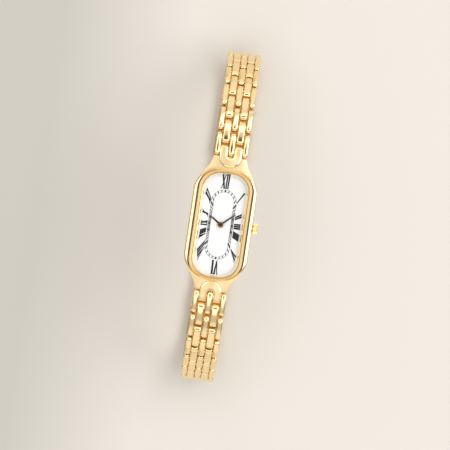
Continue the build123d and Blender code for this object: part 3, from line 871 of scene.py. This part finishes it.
def letter_strokes(letter, thin, thick, serif):
    """The letter's width, and its strokes in its own box, as four corners each."""

    def bar(left, right, top):
        low, high_edge = (1 - serif, 1) if top else (0, serif)
        return [(left, low), (right, low), (right, high_edge), (left, high_edge)]

    if letter == "I":
        left, right = 0.23 - thick / 2, 0.23 + thick / 2
        return 0.46, [
            [(left, 0), (right, 0), (right, 1), (left, 1)],
            bar(0.02, 0.44, False),
            bar(0.02, 0.44, True),
        ]
    if letter == "V":
        return 0.86, [
            [(0.36, 0), (0.36 + thin, 0), (0.06 + thin, 1), (0.06, 1)],
            [(0.34, 0), (0.34 + thin, 0), (0.84, 1), (0.84 - thick, 1)],
            bar(0.0, 0.28, True),
            bar(0.45, 0.91, True),
        ]
    broad = thick * X_BROADER
    return 1.14, [
        [(1.14 - broad, 0), (1.14, 0), (0.08 + broad, 1), (0.08, 1)],
        [(0.1, 0), (0.1 + thin, 0), (1.04, 1), (1.04 - thin, 1)],
        bar(0.0, 0.35, False),
        bar(0.7, 1.13, False),
        bar(0.0, 0.46, True),
        bar(0.8, 1.14, True),
    ]


def numeral_strokes(letters, weights, corners):
    """A numeral's strokes pulled to its corners: bottom left and right, top left and right."""
    strokes, width = [], 0.0
    for letter in letters:
        advance, own = letter_strokes(letter, **weights)
        strokes += [[(x + width, y) for x, y in stroke] for stroke in own]
        width += advance
    low_left, low_right, top_left, top_right = (Vector(c) for c in corners)

    def pulled(x, y):
        low = low_left.lerp(low_right, x / width)
        return tuple(low.lerp(top_left.lerp(top_right, x / width), y))

    return [[pulled(x, y) for x, y in stroke] for stroke in strokes]


# %% Places of the numerals
NUMERALS = {
    "XII": (TALL, [(-1.1, 7.7), (0.58, 7.74), (-1.2, 10.74), (0.66, 10.76)]),
    "I": (PLAIN, [(2.66, 5.05), (2.84, 4.92), (3.9, 7.45), (4.26, 7.25)]),
    "II": (PLAIN, [(2.8, 2.12), (2.86, 1.28), (4.14, 2.95), (4.2, 2.0)]),
    "III": (PLAIN, [(2.8, 0.62), (2.84, -0.6), (4.18, 0.72), (4.22, -0.6)]),
    "IIII": (HEAVY, [(2.84, -0.93), (2.82, -2.42), (4.24, -1.62), (4.2, -3.15)]),
    "V": (PLAIN, [(2.92, -4.45), (2.78, -5.2), (4.25, -6.2), (3.98, -7.55)]),
    "VI": (TALL, [(0.88, -7.76), (-0.74, -7.76), (0.9, -10.7), (-0.66, -10.7)]),
    "VII": (PLAIN, [(-2.72, -5.75), (-2.8, -3.75), (-3.74, -8.3), (-4.2, -5.85)]),
    "VIII": (HEAVY, [(-2.9, -2.7), (-2.86, -1.0), (-4.22, -3.7), (-4.1, -1.6)]),
    "IX": (HEAVY, [(-2.78, -0.62), (-2.78, 0.52), (-4.2, -0.66), (-4.18, 0.42)]),
    "X": (HEAVY, [(-2.86, 1.24), (-2.9, 2.05), (-4.2, 2.04), (-4.2, 2.85)]),
    "XI": (HEAVY, [(-2.88, 4.0), (-2.72, 5.35), (-4.15, 6.1), (-3.95, 7.55)]),
}
print("numerals", len(NUMERALS))

# %% [markdown]
# Printed ink has hardly any height, but a surface that lies in the dial would flicker. So every stroke
# is a plane placed by its corners, and all of them are extruded upwards together. Strokes that touch
# at a corner are merged first, or the mesh would have doubled edges.

# %% Raised strokes
TOUCHING = 0.0001
INK_HEIGHT = 0.03


def raised_strokes(name, strokes, finish, low, thickness):
    """Flat strokes lying on the dial, made as planes and extruded upwards together."""
    piece = start("plane", name, size=MM)
    with editing(piece):
        bpy.ops.mesh.select_all(action="SELECT")
        bpy.ops.mesh.delete(type="VERT")
        for stroke in strokes:
            bpy.ops.mesh.select_all(action="DESELECT")
            bpy.ops.mesh.primitive_plane_add(size=MM)
            mesh = bmesh.from_edit_mesh(piece.data)
            chosen = [face for face in mesh.faces if face.select][0]
            for loop, (x, y) in zip(chosen.loops, stroke):
                loop.vert.co = Vector(high(x, y, low)) * MM
            bmesh.update_edit_mesh(piece.data)
        bpy.ops.mesh.select_all(action="SELECT")
        bpy.ops.mesh.remove_doubles(threshold=TOUCHING * MM)
        bpy.ops.mesh.select_all(action="SELECT")
        bpy.ops.mesh.extrude_region_move(TRANSFORM_OT_translate={"value": (0, 0, thickness * MM)})
        bpy.ops.mesh.select_all(action="SELECT")
        bpy.ops.mesh.normals_make_consistent(inside=False)
    paint(piece, finish)
    settle(piece, "watch_case")


hours = []
for letters, (weights, corners) in NUMERALS.items():
    hours += numeral_strokes(letters, weights, corners)
raised_strokes("hour_numerals", hours, ink, DIAL_TOP, INK_HEIGHT)

# %% [markdown]
# The minute track is a stadium: two straight sides and two half circles. Its marks point at the hands'
# axis, so each one starts where a ray from the axis meets the outer line, and ends at the inner line.

# %% Minute track
TRACK = (2.66, 7.5)
TRACK_BAND, TRACK_LINE = 0.52, 0.06
TRACK_STEPS = 180
HOUR_MARK, MINUTE_MARK = 0.17, 0.09
TRACK_HEIGHT = 0.015
TINY = 1e-9


def stadium_reach(half_width, half_length, angle):
    """How far a stadium's edge is from its middle, at an angle from 12 o'clock."""
    across, along = abs(sin(angle)), abs(cos(angle))
    straight = half_length - half_width
    if across > TINY and half_width / across * along <= straight:
        return half_width / across
    b = straight * along
    return b + sqrt(b * b - straight * straight + half_width * half_width)


def track_point(inset, angle):
    """A point on the track's line, set in from the outer line."""
    reach = stadium_reach(TRACK[0] - inset, TRACK[1] - inset, angle)
    return (reach * sin(angle), reach * cos(angle))


def track_marks():
    """The two lines of the track, and a mark across it at each minute, wider at the hours."""
    strokes = []
    for inset in (0.0, TRACK_BAND - TRACK_LINE):
        for n in range(TRACK_STEPS):
            a, b = 2 * pi * n / TRACK_STEPS, 2 * pi * (n + 1) / TRACK_STEPS
            strokes.append([
                track_point(inset, a), track_point(inset, b),
                track_point(inset + TRACK_LINE, b), track_point(inset + TRACK_LINE, a),
            ])
    for minute in range(60):
        angle = pi * minute / 30
        half = MINUTE_MARK if minute % 5 else HOUR_MARK
        outer, inner = Vector(track_point(0.0, angle)), Vector(track_point(TRACK_BAND, angle))
        side = Vector((inner.y - outer.y, outer.x - inner.x)).normalized() * half
        mark = (outer + side, outer - side, inner - side, inner + side)
        strokes.append([tuple(corner) for corner in mark])
    return strokes


raised_strokes("minute_track", track_marks(), pale_ink, DIAL_TOP, TRACK_HEIGHT)

# %% [markdown]
# ## Hands
# Both hands are thin tapered plates with a ridge, at eight minutes past ten. Each is drawn out along
# its own length from tail to tip, and turned to its hour afterwards, which is easier than placing
# points on a slant. The hub is a turned disc of dull gold with a brown middle.

# %% Hands
MINUTE_ANGLE, HOUR_ANGLE = 48.0, 304.0
HAND_TAIL, HAND_THICKNESS = 0.55, 0.12
TAIL_TAPER, TIP_TAPER = 0.06, 0.08
LATHE_POINTS = 24


def turned(piece, angle):
    """The piece turned clockwise about the hands' axis, as seen from above."""
    piece.data.transform(Matrix.Rotation(-radians(angle), 4, "Z"))


def make_hand(name, length, width, tip_width, bottom):
    """A tapered plate along +Y, with a low ridge along its middle."""
    stations = [
        (-HAND_TAIL, width * 0.8), (-HAND_TAIL + TAIL_TAPER, width), (0, width),
        (length - TIP_TAPER, tip_width), (length, tip_width * 0.5),
    ]
    edge, ridge = bottom + 0.6 * HAND_THICKNESS, bottom + HAND_THICKNESS
    loops = []
    for y, full_width in stations:
        half = full_width / 2
        loops.append([
            high(-half, y, bottom), high(half, y, bottom), high(half, y, edge), high(0, y, ridge),
            high(-half, y, edge),
        ])
    return draw_out(name, loops)


def turned_stack(name, profile):
    """A lathe shape about the hands' axis, drawn out through circles of radius and height."""
    angles = [2 * pi * n / LATHE_POINTS for n in range(LATHE_POINTS)]
    return draw_out(name, [[high(r * cos(a), r * sin(a), z) for a in angles] for r, z in profile])


# %% Hour hand
HOUR_BOSS = [(0.41, 0.12), (0.41, 1.5), (0.5, 1.52), (0.5, 1.62), (0.44, 1.64)]
hour_blade = make_hand("hour_blade", 2.55, 0.42, 0.3, 1.52)
turned(hour_blade, HOUR_ANGLE)
hour = join([hour_blade, turned_stack("hour_boss", HOUR_BOSS)], "hour_hand_brown")
paint(hour, hand_brown)
smooth(hour, 30)
settle(hour, "hour_hand", ["hour_hand"])

# %% Minute hand
MINUTE_HUB = [
    (0.23, -0.25), (0.23, 1.74), (0.58, 1.76), (0.61, 1.8), (0.61, 1.94), (0.55, 2.0), (0.3, 2.01),
    (0.24, 1.96), (0.1, 1.95),
]
HUB_MIDDLE = 0.32
minute_blade = make_hand("minute_blade", 3.8, 0.34, 0.25, 1.76)
turned(minute_blade, MINUTE_ANGLE)
paint(minute_blade, hand_brown)
minute_hub = turned_stack("minute_hub", MINUTE_HUB)
paint(minute_hub, hub_gold, hand_brown)
choose_finish(minute_hub, 1, lambda middle, normal: Vector(middle[:2]).length < HUB_MIDDLE)
minute = join([minute_blade, minute_hub], "minute_hand_brown")
smooth(minute, 30)
settle(minute, "minute_hand", ["minute_hand"])

# %% [markdown]
# ## Crown
# The crown is a fluted knob on the 3 o'clock axis. Its outline is a ring of points that step in and
# out, drawn along X. The flutes could be cut from a cylinder one by one, but then their ends would be
# square. Here their depth fades at both ends, so that they run out as on a real crown.

# %% Crown
CROWN_X = 6.97
CROWN_HEIGHT = -0.1
FLUTES = 22
# Each station is how far it is from the crown's foot, its radius and the depth of the flutes.
CROWN_STATIONS = [
    (0.0, 0.75, 0.0), (0.0, 1.02, 0.0), (0.08, 1.13, 0.02), (0.16, 1.15, 0.12), (0.9, 1.15, 0.12),
    (1.02, 1.08, 0.04), (1.1, 0.95, 0.0), (1.15, 0.7, 0.0),
]


def crown_loop(out, radius, depth):
    """A fluted ring round the crown's axis."""
    points = []
    for n in range(4 * FLUTES):
        reach = radius - (depth if n % 4 in (2, 3) else 0)
        angle = 2 * pi * n / (4 * FLUTES)
        height = CROWN_HEIGHT + reach * sin(angle)
        points.append(high(CROWN_X + out, reach * cos(angle), height))
    return points


crown = draw_out("fluted_crown", [crown_loop(*station) for station in CROWN_STATIONS])
paint(crown, crown_gold)
smooth(crown, 28)
settle(crown, "crown", ["crown"])

# %% [markdown]
# ## Bricks of the bracelet
# Three bricks make the whole bracelet: a domed one for the middle column, a narrower domed one for the
# outer columns, and a flatter, wider one between them. A bevelled cube would have the same radius all
# over. A real brick is crowned across and falls away along its length, so we draw it out through cuts
# that get narrower and lower towards both ends. Last, each end is pulled in to a cylinder about its
# pin, so that neighbours can turn without touching.

# %% A brick drawn out
BRICK_DEPTH, SIDE_START = 0.9, 0.1
BRICK_ARCH = 0.25
BRICK_MIDDLE = (-1.3, -0.65, 0)
END_REACH, TUCK_FROM = 1.19, 0.35


def brick_section(y, height, half_width, fall, crown):
    """A brick cut across at y: crown lists how far in and how far down each point of the top is."""
    right = [(half_width, -BRICK_DEPTH), (half_width, SIDE_START)]
    right += [(half_width - inward, height - fall - down) for inward, down in crown]
    return [(x, y, z) for x, z in right] + [(-x, y, z) for x, z in reversed(right)]


def tuck_ends(piece):
    """Pull the ends in to a cylinder about each pin. Level with the pin they keep its full reach."""
    for vertex in piece.data.vertices:
        _, y, z = vertex.co / MM
        level = min(abs(z), END_REACH)
        limit = sqrt(END_REACH**2 - level**2) if level > TUCK_FROM else END_REACH
        for pin_y, side in ((0, -1), (HALF_PITCH, 1)):
            if (y - pin_y) * side > limit:
                vertex.co.y = (pin_y + side * limit) * MM


def make_brick(name, width, height, crown, ends, angle):
    """A brick with the first pin at the origin. Ends lists the distance from the end, how much narrower
    the brick is there and how much lower. The arch is how much lower the top is at both ends."""
    half_length = HALF_PITCH / 2 + END_REACH
    stations = [(away - half_length, narrower, fall) for away, narrower, fall in ends]
    stations += [(y, 0, 0) for y in BRICK_MIDDLE]
    stations += [(-y, narrower, fall) for y, narrower, fall in reversed(stations[:-1])]
    loops = []
    for y, narrower, fall in stations:
        drop = fall + BRICK_ARCH * (y / half_length) ** 2
        place = y + HALF_PITCH / 2
        loops.append(brick_section(place, height, width / 2 - narrower, drop, crown))
    piece = draw_out(name, loops)
    tuck_ends(piece)
    paint(piece, brick_gold)
    smooth(piece, angle)
    print(name, len(piece.data.polygons), "faces")
    return piece


# %% Domed and flat bricks
DOME_HEIGHT, FLAT_HEIGHT = 0.9, 0.74
DOME_CROWN = [(0, 0.3), (0.03, 0.19), (0.08, 0.12), (0.16, 0.07), (0.28, 0.035), (0.46, 0.008)]
DOME_ENDS = [
    (0, 0.34, 0.38), (0.06, 0.21, 0.27), (0.16, 0.12, 0.17), (0.32, 0.04, 0.085), (0.55, 0, 0.02),
    (0.8, 0, 0),
]
FLAT_CROWN = [(0, 0.34), (0.05, 0.17), (0.1, 0.085), (0.17, 0.04), (0.3, 0.015), (0.5, 0.003)]
FLAT_ENDS = [
    (0, 0.05, 0.42), (0.1, 0.01, 0.29), (0.25, 0, 0.17), (0.45, 0, 0.07), (0.65, 0, 0.015),
    (0.85, 0, 0),
]
middle_dome = make_brick("middle_dome", MIDDLE_WIDTH, DOME_HEIGHT, DOME_CROWN, DOME_ENDS, 60)
outer_dome = make_brick("outer_dome", OUTER_WIDTH, DOME_HEIGHT, DOME_CROWN, DOME_ENDS, 60)
flat = make_brick("flat_brick", FLAT_WIDTH, FLAT_HEIGHT, FLAT_CROWN, FLAT_ENDS, 35)

# %% [markdown]
# A row of domed bricks carries both of its pins. A pin is a plain cylinder with a small bevel on its
# two rims, which are the edges that don't run along it.

# %% Pin
PIN_LENGTH, PIN_RADIUS, PIN_EDGE = 6.5, 0.3, 0.06
RIM_TILT = 0.1
pin = start("cylinder", "pin", vertices=16, radius=PIN_RADIUS * MM, depth=PIN_LENGTH * MM)
with editing(pin, "EDGE"):
    mesh = bmesh.from_edit_mesh(pin.data)
    for edge in mesh.edges:
        way = (edge.verts[1].co - edge.verts[0].co).normalized()
        if abs(way.z) < RIM_TILT:
            edge.select_set(True)
    mesh.select_flush_mode()
    bmesh.update_edit_mesh(pin.data)
    bpy.ops.mesh.bevel(offset=PIN_EDGE * MM, segments=1)
pin.data.transform(Matrix.Rotation(pi / 2, 4, "Y"))
paint(pin, polished_gold)
smooth(pin, 40)
print("pin", len(pin.data.polygons), "faces")

# %% [markdown]
# Between two bricks of a column the photo shows something dark and golden: partly the folded links that
# hold a row together, and partly shade. A small bar with a ridge stands for the links, and its dark
# gold is painted shade. It crosses half way along its row, under the gaps of the columns beside it,
# and its ends are a little slimmer.

# %% Cross bars
# Half of the bar's cut, from its foot to its ridge, as places across and heights, and that of its ends.
BAR_CUT = [(0.44, -0.86), (0.36, -0.72), (0.22, -0.5)]
BAR_END_CUT = [(0.38, -0.86), (0.3, -0.72), (0.22, -0.56)]
BAR_TAPER = 0.1


def make_cross_bar(name, reach):
    """A bar across the bracelet that reaches as far to both sides."""
    inner = reach - BAR_TAPER
    loops = []
    for x, cut in ((-reach, BAR_END_CUT), (-inner, BAR_CUT), (inner, BAR_CUT), (reach, BAR_END_CUT)):
        outline = cut + [(-across, up) for across, up in reversed(cut)]
        loops.append([(x, HALF_PITCH / 2 + across, up) for across, up in outline])
    bar = draw_out(name, loops)
    # The bar's dark gold is painted shade.
    paint(bar, shade_gold)
    return bar


round_bar = make_cross_bar("round_bar", 3.33)
flat_bar = make_cross_bar("flat_bar", 3.48)
print("cross bars", len(round_bar.data.polygons) + len(flat_bar.data.polygons), "faces")

# %% [markdown]
# ## Rows
# The joints of the frame say where each row's first pin is and how far the row has turned. A row is
# its bricks, pins and bar copied into its columns, each copy with its own mesh, joined, and moved to
# its place. Placing each of the 40 rows by hand would drift from the joints, so the frame leads.

# %% Rows in place
# Each part of a row is its master, its place across and its place along.
ROUND_ROW = [
    (outer_dome, -OUTER_COLUMN, 0), (outer_dome, OUTER_COLUMN, 0), (middle_dome, 0, 0),
    (pin, 0, 0), (pin, 0, HALF_PITCH), (round_bar, 0, 0),
]
FLAT_ROW = [(flat, -FLAT_COLUMN, 0), (flat, FLAT_COLUMN, 0), (flat_bar, 0, 0)]
SCATTER = 40


def row_places(half, side):
    """Each row's node, and the matrix that puts a brick at the origin in its place."""
    heading = 0.0
    for joint in frame["joints"]:
        if not joint["child"].startswith(half + "_row_"):
            continue
        heading += joint["range_deg"][1]
        down = radians(heading)
        across = Vector((side, 0, 0))
        outward = Vector((0, side * sin(down), cos(down)))
        along = outward.cross(across)
        turn = Matrix((across, along, outward)).transposed().to_4x4()
        yield joint["child"], Matrix.Translation(Vector(joint["pos_m"])) @ turn


def copy_of(master, x, y):
    """A copy with its own mesh, moved in millimetres."""
    copy = master.copy()
    copy.data = master.data.copy()
    bpy.context.scene.collection.objects.link(copy)
    copy.data.transform(Matrix.Translation(Vector((x, y, 0)) * MM))
    return copy


random.seed(7)
rows = []
for half, side in (("upper", 1), ("lower", -1)):
    for number, (node, place) in enumerate(row_places(half, side), start=1):
        layout = ROUND_ROW if number % 2 else FLAT_ROW
        row = join([copy_of(*part) for part in layout], node + "_bricks")
        keep_places(row, [random.uniform(-SCATTER, SCATTER) for _ in range(3)])
        row.data.transform(place)
        settle(row, node, [node])
        rows.append(row)
for master in (middle_dome, outer_dome, flat, pin, round_bar, flat_bar):
    bpy.data.objects.remove(master)
print("rows", len(rows))

# %% [markdown]
# ## Case back
# The case back is a steel plate with a rounded rim. It is drawn out from its outer face up into the
# case, where a narrower step centres it. Extruding one face upwards would give it no rim.

# %% Case back
# Each station is how far the case's outline is set in, and its height.
BACK_STATIONS = [
    (0.95, -2.1), (0.8, -2.1), (0.66, -2.06), (0.58, -1.96), (0.55, -1.85), (0.55, CASE_BOTTOM),
    (1.7, CASE_BOTTOM), (1.7, CASE_BOTTOM + 0.3),
]
case_back = draw_out("case_back_plate", [case_line(*station) for station in BACK_STATIONS])
paint(case_back, steel)
smooth(case_back, 30)
settle(case_back, "watch_case", ["case_back"])

# %% [markdown]
# ## Clasp
# The clasp's base and cover keep their CAD shape, which has all that the real ones have. Only their
# edges are too sharp, and a CAD node is loose triangles. So a copy of each is merged, its flat faces
# are made whole, its edges are rounded, and it gets a satin finish.

# %% Clasp
FLAT_WITHIN = radians(1)


def dressed_copy(node, name, finish, width):
    """A merged copy of a CAD node, its flat faces whole again and its edges rounded."""
    piece = frame["nodes"][node].copy()
    piece.data = frame["nodes"][node].data.copy()
    piece.parent = None
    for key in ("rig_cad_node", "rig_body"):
        del piece[key]
    bpy.context.scene.collection.objects.link(piece)
    piece.name = name
    with editing(piece):
        bpy.ops.mesh.select_all(action="SELECT")
        bpy.ops.mesh.remove_doubles(threshold=MERGE)
        bpy.ops.mesh.dissolve_limited(angle_limit=FLAT_WITHIN)
        bpy.ops.mesh.normals_make_consistent(inside=False)
    round_edges(piece, width)
    paint(piece, finish)
    smooth(piece, 20)
    return piece


clasp_cover = dressed_copy("clasp_cover", "clasp_cover_channel", satin_gold, 0.12)
settle(clasp_cover, "clasp_cover", ["clasp_cover"])
clasp_base = dressed_copy("clasp_base", "clasp_base_plate", satin_gold, 0.06)
settle(clasp_base, "clasp_base", ["clasp_base"])

# %% [markdown]
# ## Pieces that stay as they are
# The inner pieces are seldom seen, and their CAD shape is right. They only get a finish.

# %% Carried-over nodes
CARRIED = {
    "movement": inner_brass, "movement_ring": inner_plastic, "battery": inner_steel,
    "crystal_gasket": inner_plastic, "case_back_gasket": inner_rubber, "crown_tube": inner_steel,
    "winding_stem": inner_steel, "setting_lever": inner_steel, "clasp_hinge_pin": inner_gold,
}
for node, finish in CARRIED.items():
    paint(frame["nodes"][node], finish)
print("carried over", len(CARRIED))

# %% [markdown]
# ## Floor
# A plain pale floor that is a little darker on the left than on the right, as in the photo. A lamp
# placed to one side could shade it too, but it would also shade the watch, so the colour does it.

# %% Floor
FLOOR_SIZE, FLOOR_CUTS = 3.0, 3
FADE_START, FADE_END = -0.04, -0.012
SHADED_LEFT_COLOUR, RIGHT_COLOUR = (0.575, 0.55, 0.49), (0.785, 0.738, 0.672)


def floor_finish():
    """Pale warm paper with painted shade, darker to the left."""
    finish = Finish("pale_floor")
    spot = finish.add("TexCoord", output="Object")
    # Painted shade: the colour darkens from right to left.
    share = finish.fade(finish.axis(spot, "X"), FADE_START, FADE_END, kind="LINEAR")
    mottle = finish.noise(spot, 9.0, detail=3.0)
    colour = finish.blend(share, tint(*SHADED_LEFT_COLOUR), tint(*RIGHT_COLOUR))
    shader = finish.add(
        "BsdfPrincipled",
        inputs={"Base Color": colour, "Roughness": mottle * 0.05 + 0.6, "Specular IOR Level": 0.2},
    )
    return finish.close(shader)


floor = start("plane", "floor", size=FLOOR_SIZE)
with editing(floor, "FACE"):
    bpy.ops.mesh.select_all(action="SELECT")
    bpy.ops.mesh.subdivide(number_cuts=FLOOR_CUTS)
paint(floor, floor_finish())
print("floor", FLOOR_SIZE, "m wide")

# %% [markdown]
# ## Sky
# Polished gold shows what is round it, so the sky decides how it looks. It is dark in a small spot
# straight above, where the lens would be, brightest in a ring round that, soft further down, and dark
# near the horizon. Polished slopes mirror the horizon and turn brown, and flat gold stays pale. The
# sky is a little dimmer towards 6 o'clock, and beyond 12 and 6 it stays bright all the way down,
# because the bracelet curves away there. Many lamps could do this, but a ramp of rings is easier.

# %% Sky
RING_MIDDLE = (-0.0126, 0.0855, 0.9963)
# Each stop is how far it is from the ring's middle, in degrees, and how bright the sky is there.
SKY = [
    (0, 0.1), (6.5, 0.1), (9, 0.72), (17, 0.78), (19, 2.0), (30, 2.0), (33, 0.85), (56, 0.8),
    (62, 0.12),
]
ENDS_FROM, ENDS_TO, ENDS_LEVEL = 0.45, 0.75, 0.97
DIM_FULL, DIM_END, DIM_SHARE = -0.33, -0.2, 0.24

world = bpy.data.worlds.new("studio")
bpy.context.scene.world = world
sky = Finish("studio", world)
direction = sky.add("TexCoord", output="Generated")
toward = sky.add("VectorMath", {"operation": "DOT_PRODUCT"}, {0: direction, 1: RING_MIDDLE}, "Value")
angle = sky.add("Math", {"operation": "ARCCOSINE"}, {0: toward})
ring = sky.add(
    "ValToRGB",
    {"stops": [(degrees_off / 90, brightness) for degrees_off, brightness in SKY]},
    {"Fac": angle * (2 / pi)},
)
along = sky.axis(direction, "Y")
ends = sky.fade(abs(along), ENDS_FROM, ENDS_TO, end=ENDS_LEVEL)
low_side = sky.fade(along, DIM_FULL, DIM_END, start=DIM_SHARE, end=0.0)
level = (ring * (1 - low_side)).larger(ends)
background = sky.add("Background", inputs={"Color": level, "Strength": 1.0})
sky.add("OutputWorld", inputs={"Surface": background})
print("sky with", len(SKY), "stops")

# %% [markdown]
# ## Lamp
# One large lamp from the upper right gives the soft shadow. Its place is measured in the photo's own
# directions and turned into the frame's. Its power follows from its size and how bright it looks.

# %% Lamp
LAMP_PLACE = (0.62, 0.12, 0.82)
LAMP_AIM = (0, 0, 0.02)
LAMP_WIDTH, LAMP_LENGTH, LAMP_BRIGHTNESS = 0.46, 0.9, 2.6
PHOTO_TURN = radians(8.4)

lamp_data = bpy.data.lights.new("right_box", "AREA")
lamp_data.shape = "RECTANGLE"
lamp_data.size, lamp_data.size_y = LAMP_WIDTH, LAMP_LENGTH
lamp_data.energy = LAMP_BRIGHTNESS * pi * LAMP_WIDTH * LAMP_LENGTH
lamp = bpy.data.objects.new("right_box", lamp_data)
bpy.context.scene.collection.objects.link(lamp)
place = Matrix.Rotation(PHOTO_TURN, 3, "Z") @ Vector(LAMP_PLACE)
away = (place - Vector(LAMP_AIM)).normalized()
side = away.cross(Vector((0, 1, 0))).normalized()
turn = Matrix((side, away.cross(side), away)).transposed().to_4x4()
lamp.matrix_world = Matrix.Translation(place) @ turn
print("lamp", round(place.length, 2), "m away")

# %% [markdown]
# ## Camera
# The photo was taken from almost straight above with a long lens, tipped five degrees and rolled eight.
# A pixel's size at the watch turns the small shift of the picture into metres.

# %% Camera
TIP, LEAN, ROLL = radians(-4.96), radians(0.13), radians(8.41)
DISTANCE = 1.2
SENSOR, LENS = 36.0, 448.0
NEAREST, FARTHEST = 0.05, 10.0
PIXEL = 1 / 4683.0
SHIFT_RIGHT, SHIFT_UP = 4.45, -1.0

camera_data = bpy.data.cameras.new("camera")
camera_data.sensor_width = SENSOR
camera_data.lens = LENS
camera_data.clip_start, camera_data.clip_end = NEAREST, FARTHEST
camera = bpy.data.objects.new("camera", camera_data)
bpy.context.scene.collection.objects.link(camera)
turn = Matrix.Rotation(ROLL, 3, "Z") @ Matrix.Rotation(LEAN, 3, "Y") @ Matrix.Rotation(TIP, 3, "X")
shift = Vector((SHIFT_RIGHT * PIXEL, SHIFT_UP * PIXEL, DISTANCE))
camera.location = Vector((0, 0, PIN_LINE * MM)) + turn @ shift
camera.rotation_euler = turn.to_euler()
bpy.context.scene.camera = camera
print("camera at", [round(c, 4) for c in camera.location])

# %% [markdown]
# ## Last settings
# The Standard view shows colours as they are written.

# %% Finish
bpy.context.scene.view_settings.view_transform = "Standard"
bpy.context.view_layer.update()
